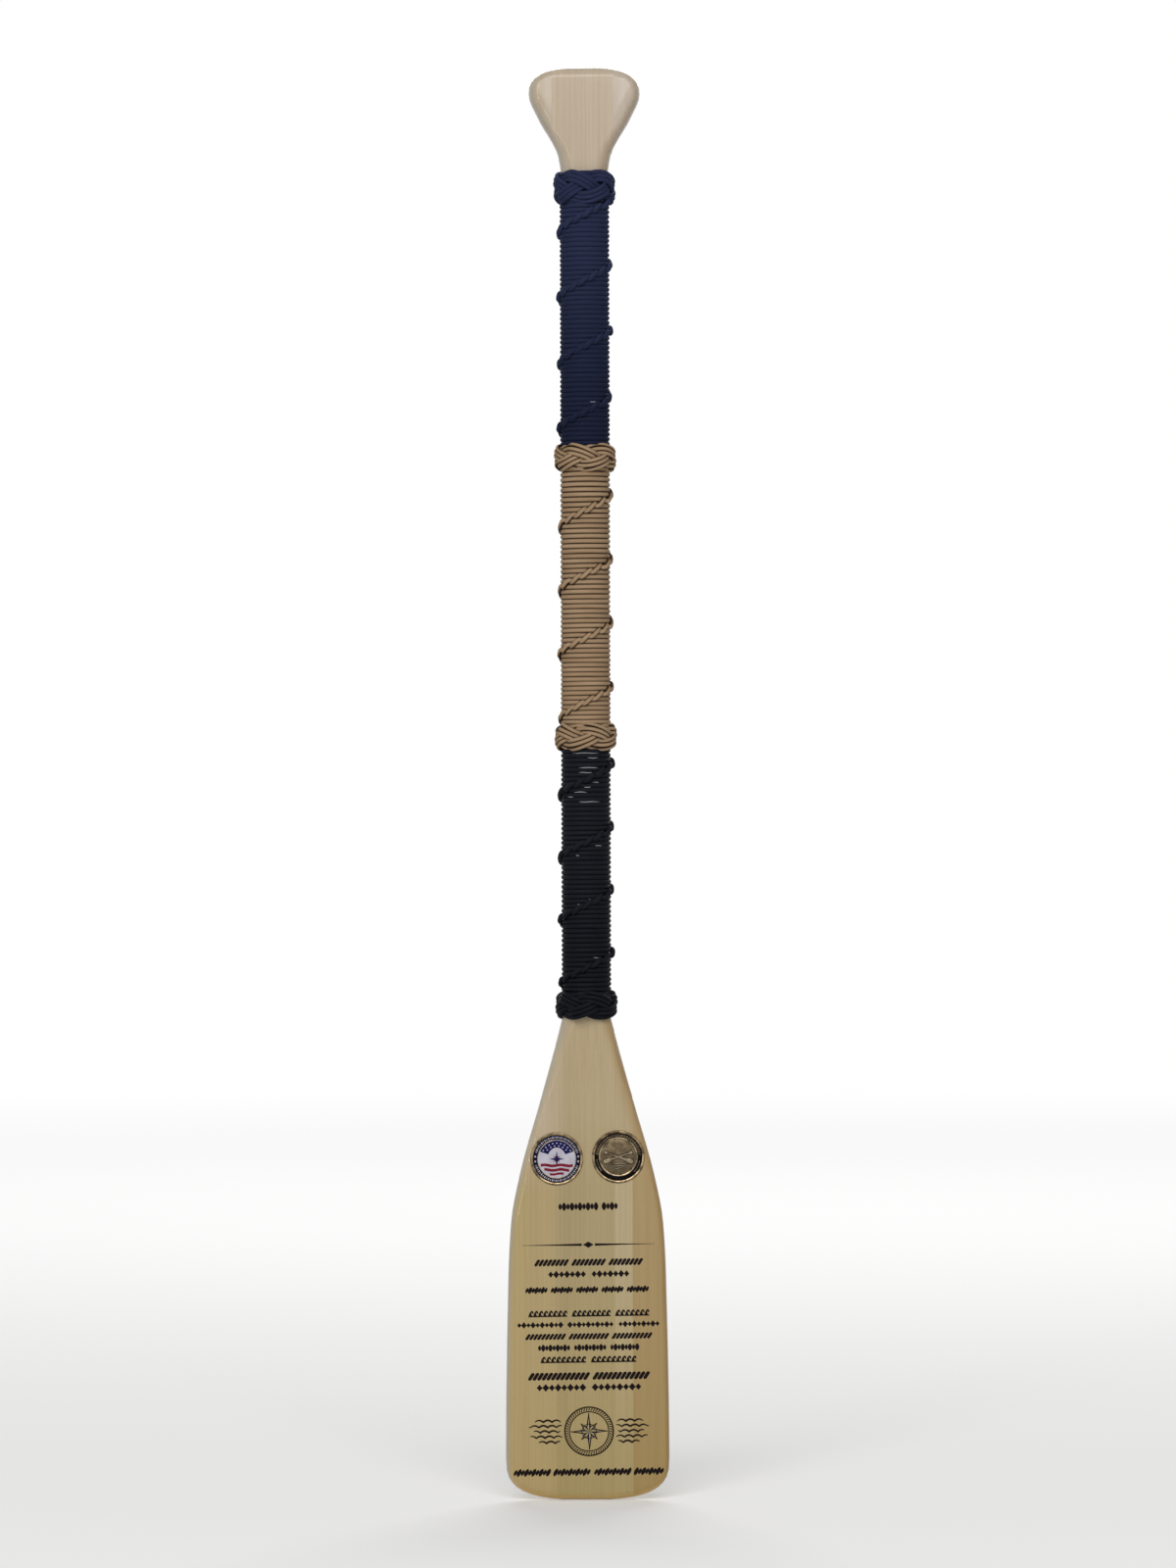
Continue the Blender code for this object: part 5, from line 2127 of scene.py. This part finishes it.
def plain_finishes(effects: Effects) -> Finishes:
    """Builds the finishes of the coins, the print, the tapes and the adhesive.

    Args:
        effects: the shared groups.

    Returns:
        The materials by name.
    """
    finishes = [
        MetalFinish("gold", (0.33, 0.245, 0.135), (0.062, 0.044, 0.028), 0.17, 0.01 * MM),
        MetalFinish("bright gold", (0.40, 0.33, 0.22), (0.11, 0.085, 0.052), 0.2, 0.01 * MM),
        MetalFinish("antique gold", (0.142, 0.107, 0.066), (0.107, 0.079, 0.047), 0.55, 0.06 * MM),
        MetalFinish("dark patina", (0.025, 0.018, 0.011), (0.012, 0.009, 0.006), 0.55, 0.05 * MM),
        EnamelFinish("navy enamel", (0.009, 0.009, 0.060), (0.012, 0.012, 0.080)),
        EnamelFinish("midnight enamel", (0.006, 0.005, 0.020), (0.010, 0.008, 0.030)),
        EnamelFinish("white enamel", (0.53, 0.51, 0.57), (0.44, 0.425, 0.49)),
        EnamelFinish("red enamel", (0.195, 0.011, 0.025), (0.150, 0.009, 0.020)),
        EnamelFinish("black enamel", (0.0025, 0.002, 0.002), (0.005, 0.004, 0.004)),
        InkFinish("black ink", (0.005, 0.003, 0.004), (0.014, 0.009, 0.009)),
        InkFinish("brown ink", (0.012, 0.007, 0.005), (0.028, 0.017, 0.011)),
        InkFinish("navy ink", (0.010, 0.012, 0.030), (0.022, 0.024, 0.045)),
        TapeFinish("navy tape", (0.008, 0.010, 0.028), (0.014, 0.017, 0.040)),
        TapeFinish("tan tape", (0.20, 0.135, 0.08), (0.30, 0.20, 0.12)),
        TapeFinish("black tape", (0.004, 0.004, 0.007), (0.008, 0.008, 0.012)),
        EpoxyFinish("epoxy", (0.50, 0.42, 0.27)),
    ]
    return {finish.name: finish.material(effects) for finish in finishes}


def build_wood(effects: Effects) -> None:
    """Builds the blank.

    Args:
        effects: the shared groups.
    """
    chest, throat = (0.428, 0.331, 0.187), (0.466, 0.376, 0.276)
    Blank([
        Stave("centre_stave", "centre_stave_wood", "basswood",
              WoodFinish("centre stave wood", (0.370, 0.280, 0.114), (0.364, 0.282, 0.135), chest, throat, 0.0)),
        Stave("blade_strip_left_inner", "left_inner_strip_wood", "basswood",
              WoodFinish("left inner wood", (0.413, 0.308, 0.130), (0.403, 0.304, 0.139), chest, throat, 0.37)),
        Stave("blade_strip_left_outer", "left_outer_strip_wood", "pale_basswood",
              WoodFinish("left outer wood", (0.407, 0.292, 0.121), (0.404, 0.304, 0.130), chest, throat, 0.71)),
        Stave("blade_strip_right_inner", "right_inner_strip_wood", "pale_basswood",
              WoodFinish("right inner wood", (0.378, 0.286, 0.120), (0.445, 0.356, 0.202), chest, throat, 1.13)),
        Stave("blade_strip_right_outer", "right_outer_strip_wood", "warm_basswood",
              WoodFinish("right outer wood", (0.337, 0.228, 0.078), (0.362, 0.253, 0.106), chest, throat, 1.57)),
        Stave("grip_cheek_left", "left_cheek_wood", "grip_basswood",
              WoodFinish("left cheek wood", throat, throat, throat, (0.489, 0.423, 0.349), 2.2, contrast=0.06,
                         pale_chest=(0.430, 0.339, 0.229))),
        Stave("grip_cheek_right", "right_cheek_wood", "grip_basswood",
              WoodFinish("right cheek wood", throat, throat, throat, (0.474, 0.393, 0.312), 2.9, contrast=0.06,
                         glue_line=23.75 * MM)),
    ]).build(effects)


def build_cords(effects: Effects, trees: Trees) -> None:
    """Winds the three bindings and braids the four knots.

    Args:
        effects: the shared groups.
        trees: the shared trees.
    """
    cord = {name: finish.material(effects) for name, finish in cord_finishes().items()}
    bindings = [
        Binding("black_wrap", "black_wrap_cord", "black_cord", foot=269.0 * MM, top=472.0 * MM, turns=51,
                ridge_pitch=53.3 * MM, ridge_at=461.6 * MM, seed=3, under_top=2.6 * MM, pale_threads=BLACK_PAINTED_GLINTS),
        Binding("tan_wrap", "tan_wrap_cord", "tan_cord", foot=496.5 * MM, top=709.0 * MM, turns=53,
                ridge_pitch=54.2 * MM, ridge_at=690.0 * MM, seed=5, pitch_growth=0.06),
        Binding("navy_wrap", "navy_wrap_cord", "navy_cord", foot=734.0 * MM, top=936.0 * MM, turns=51,
                ridge_pitch=55.8 * MM, ridge_at=885.8 * MM, seed=8, under_foot=2.6 * MM, pale_threads=NAVY_PAINTED_GLINTS),
    ]
    for binding in bindings:
        binding.build(cord[binding.slot], trees)
        # Painted glints: pale strips in some grooves
        if binding.pale_threads:
            binding.build_threads(cord["painted glints"], trees)
    front_bight, front_valley = math.radians(-90), math.radians(-126)
    knots = [
        Knot("black_turks_head", "black_knot_cord", "black_cord", 243.9 * MM, 269.1 * MM, front_bight,
             foot_spread=3.5 * MM),
        Knot("tan_turks_head_lower", "lower_tan_knot_cord", "tan_cord", 472.0 * MM, 496.5 * MM, front_bight),
        Knot("tan_turks_head_upper", "upper_tan_knot_cord", "tan_cord", 709.0 * MM, 734.0 * MM, front_valley),
        Knot("navy_turks_head", "navy_knot_cord", "navy_cord", 936.0 * MM, 966.0 * MM, front_valley,
             top_spread=3.0 * MM),
    ]
    for knot in knots:
        knot.build(cord[knot.slot], trees)


def dress_nodes(finishes: Finishes) -> None:
    """Gives the CAD nodes that stay their finishes.

    Args:
        finishes: the materials by name.
    """
    wanted = {"black_tape": "black tape", "tan_tape": "tan tape", "navy_tape": "navy tape",
              "left_coin_adhesive": "epoxy", "right_coin_adhesive": "epoxy"}
    for node, name in wanted.items():
        for material_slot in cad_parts[node].material_slots:
            material_slot.material = finishes[name]
        LOG.info("%s: %s", node, name)


def main() -> None:
    """Builds the looks in order."""
    logging.basicConfig(level=logging.INFO, format="%(message)s")
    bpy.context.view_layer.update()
    effects = Effects()
    trees = Trees()
    finishes = plain_finishes(effects)
    Studio().build()
    build_wood(effects)
    build_cords(effects, trees)
    EnamelledCoin((-25.7 * MM, 125.4 * MM), "gold_plate").build(finishes, trees)
    AntiqueCoin((26.7 * MM, 127.1 * MM), "antique_gold").build(finishes, trees)
    Print().build(finishes, trees)
    dress_nodes(finishes)


if __name__ == "__main__":
    main()
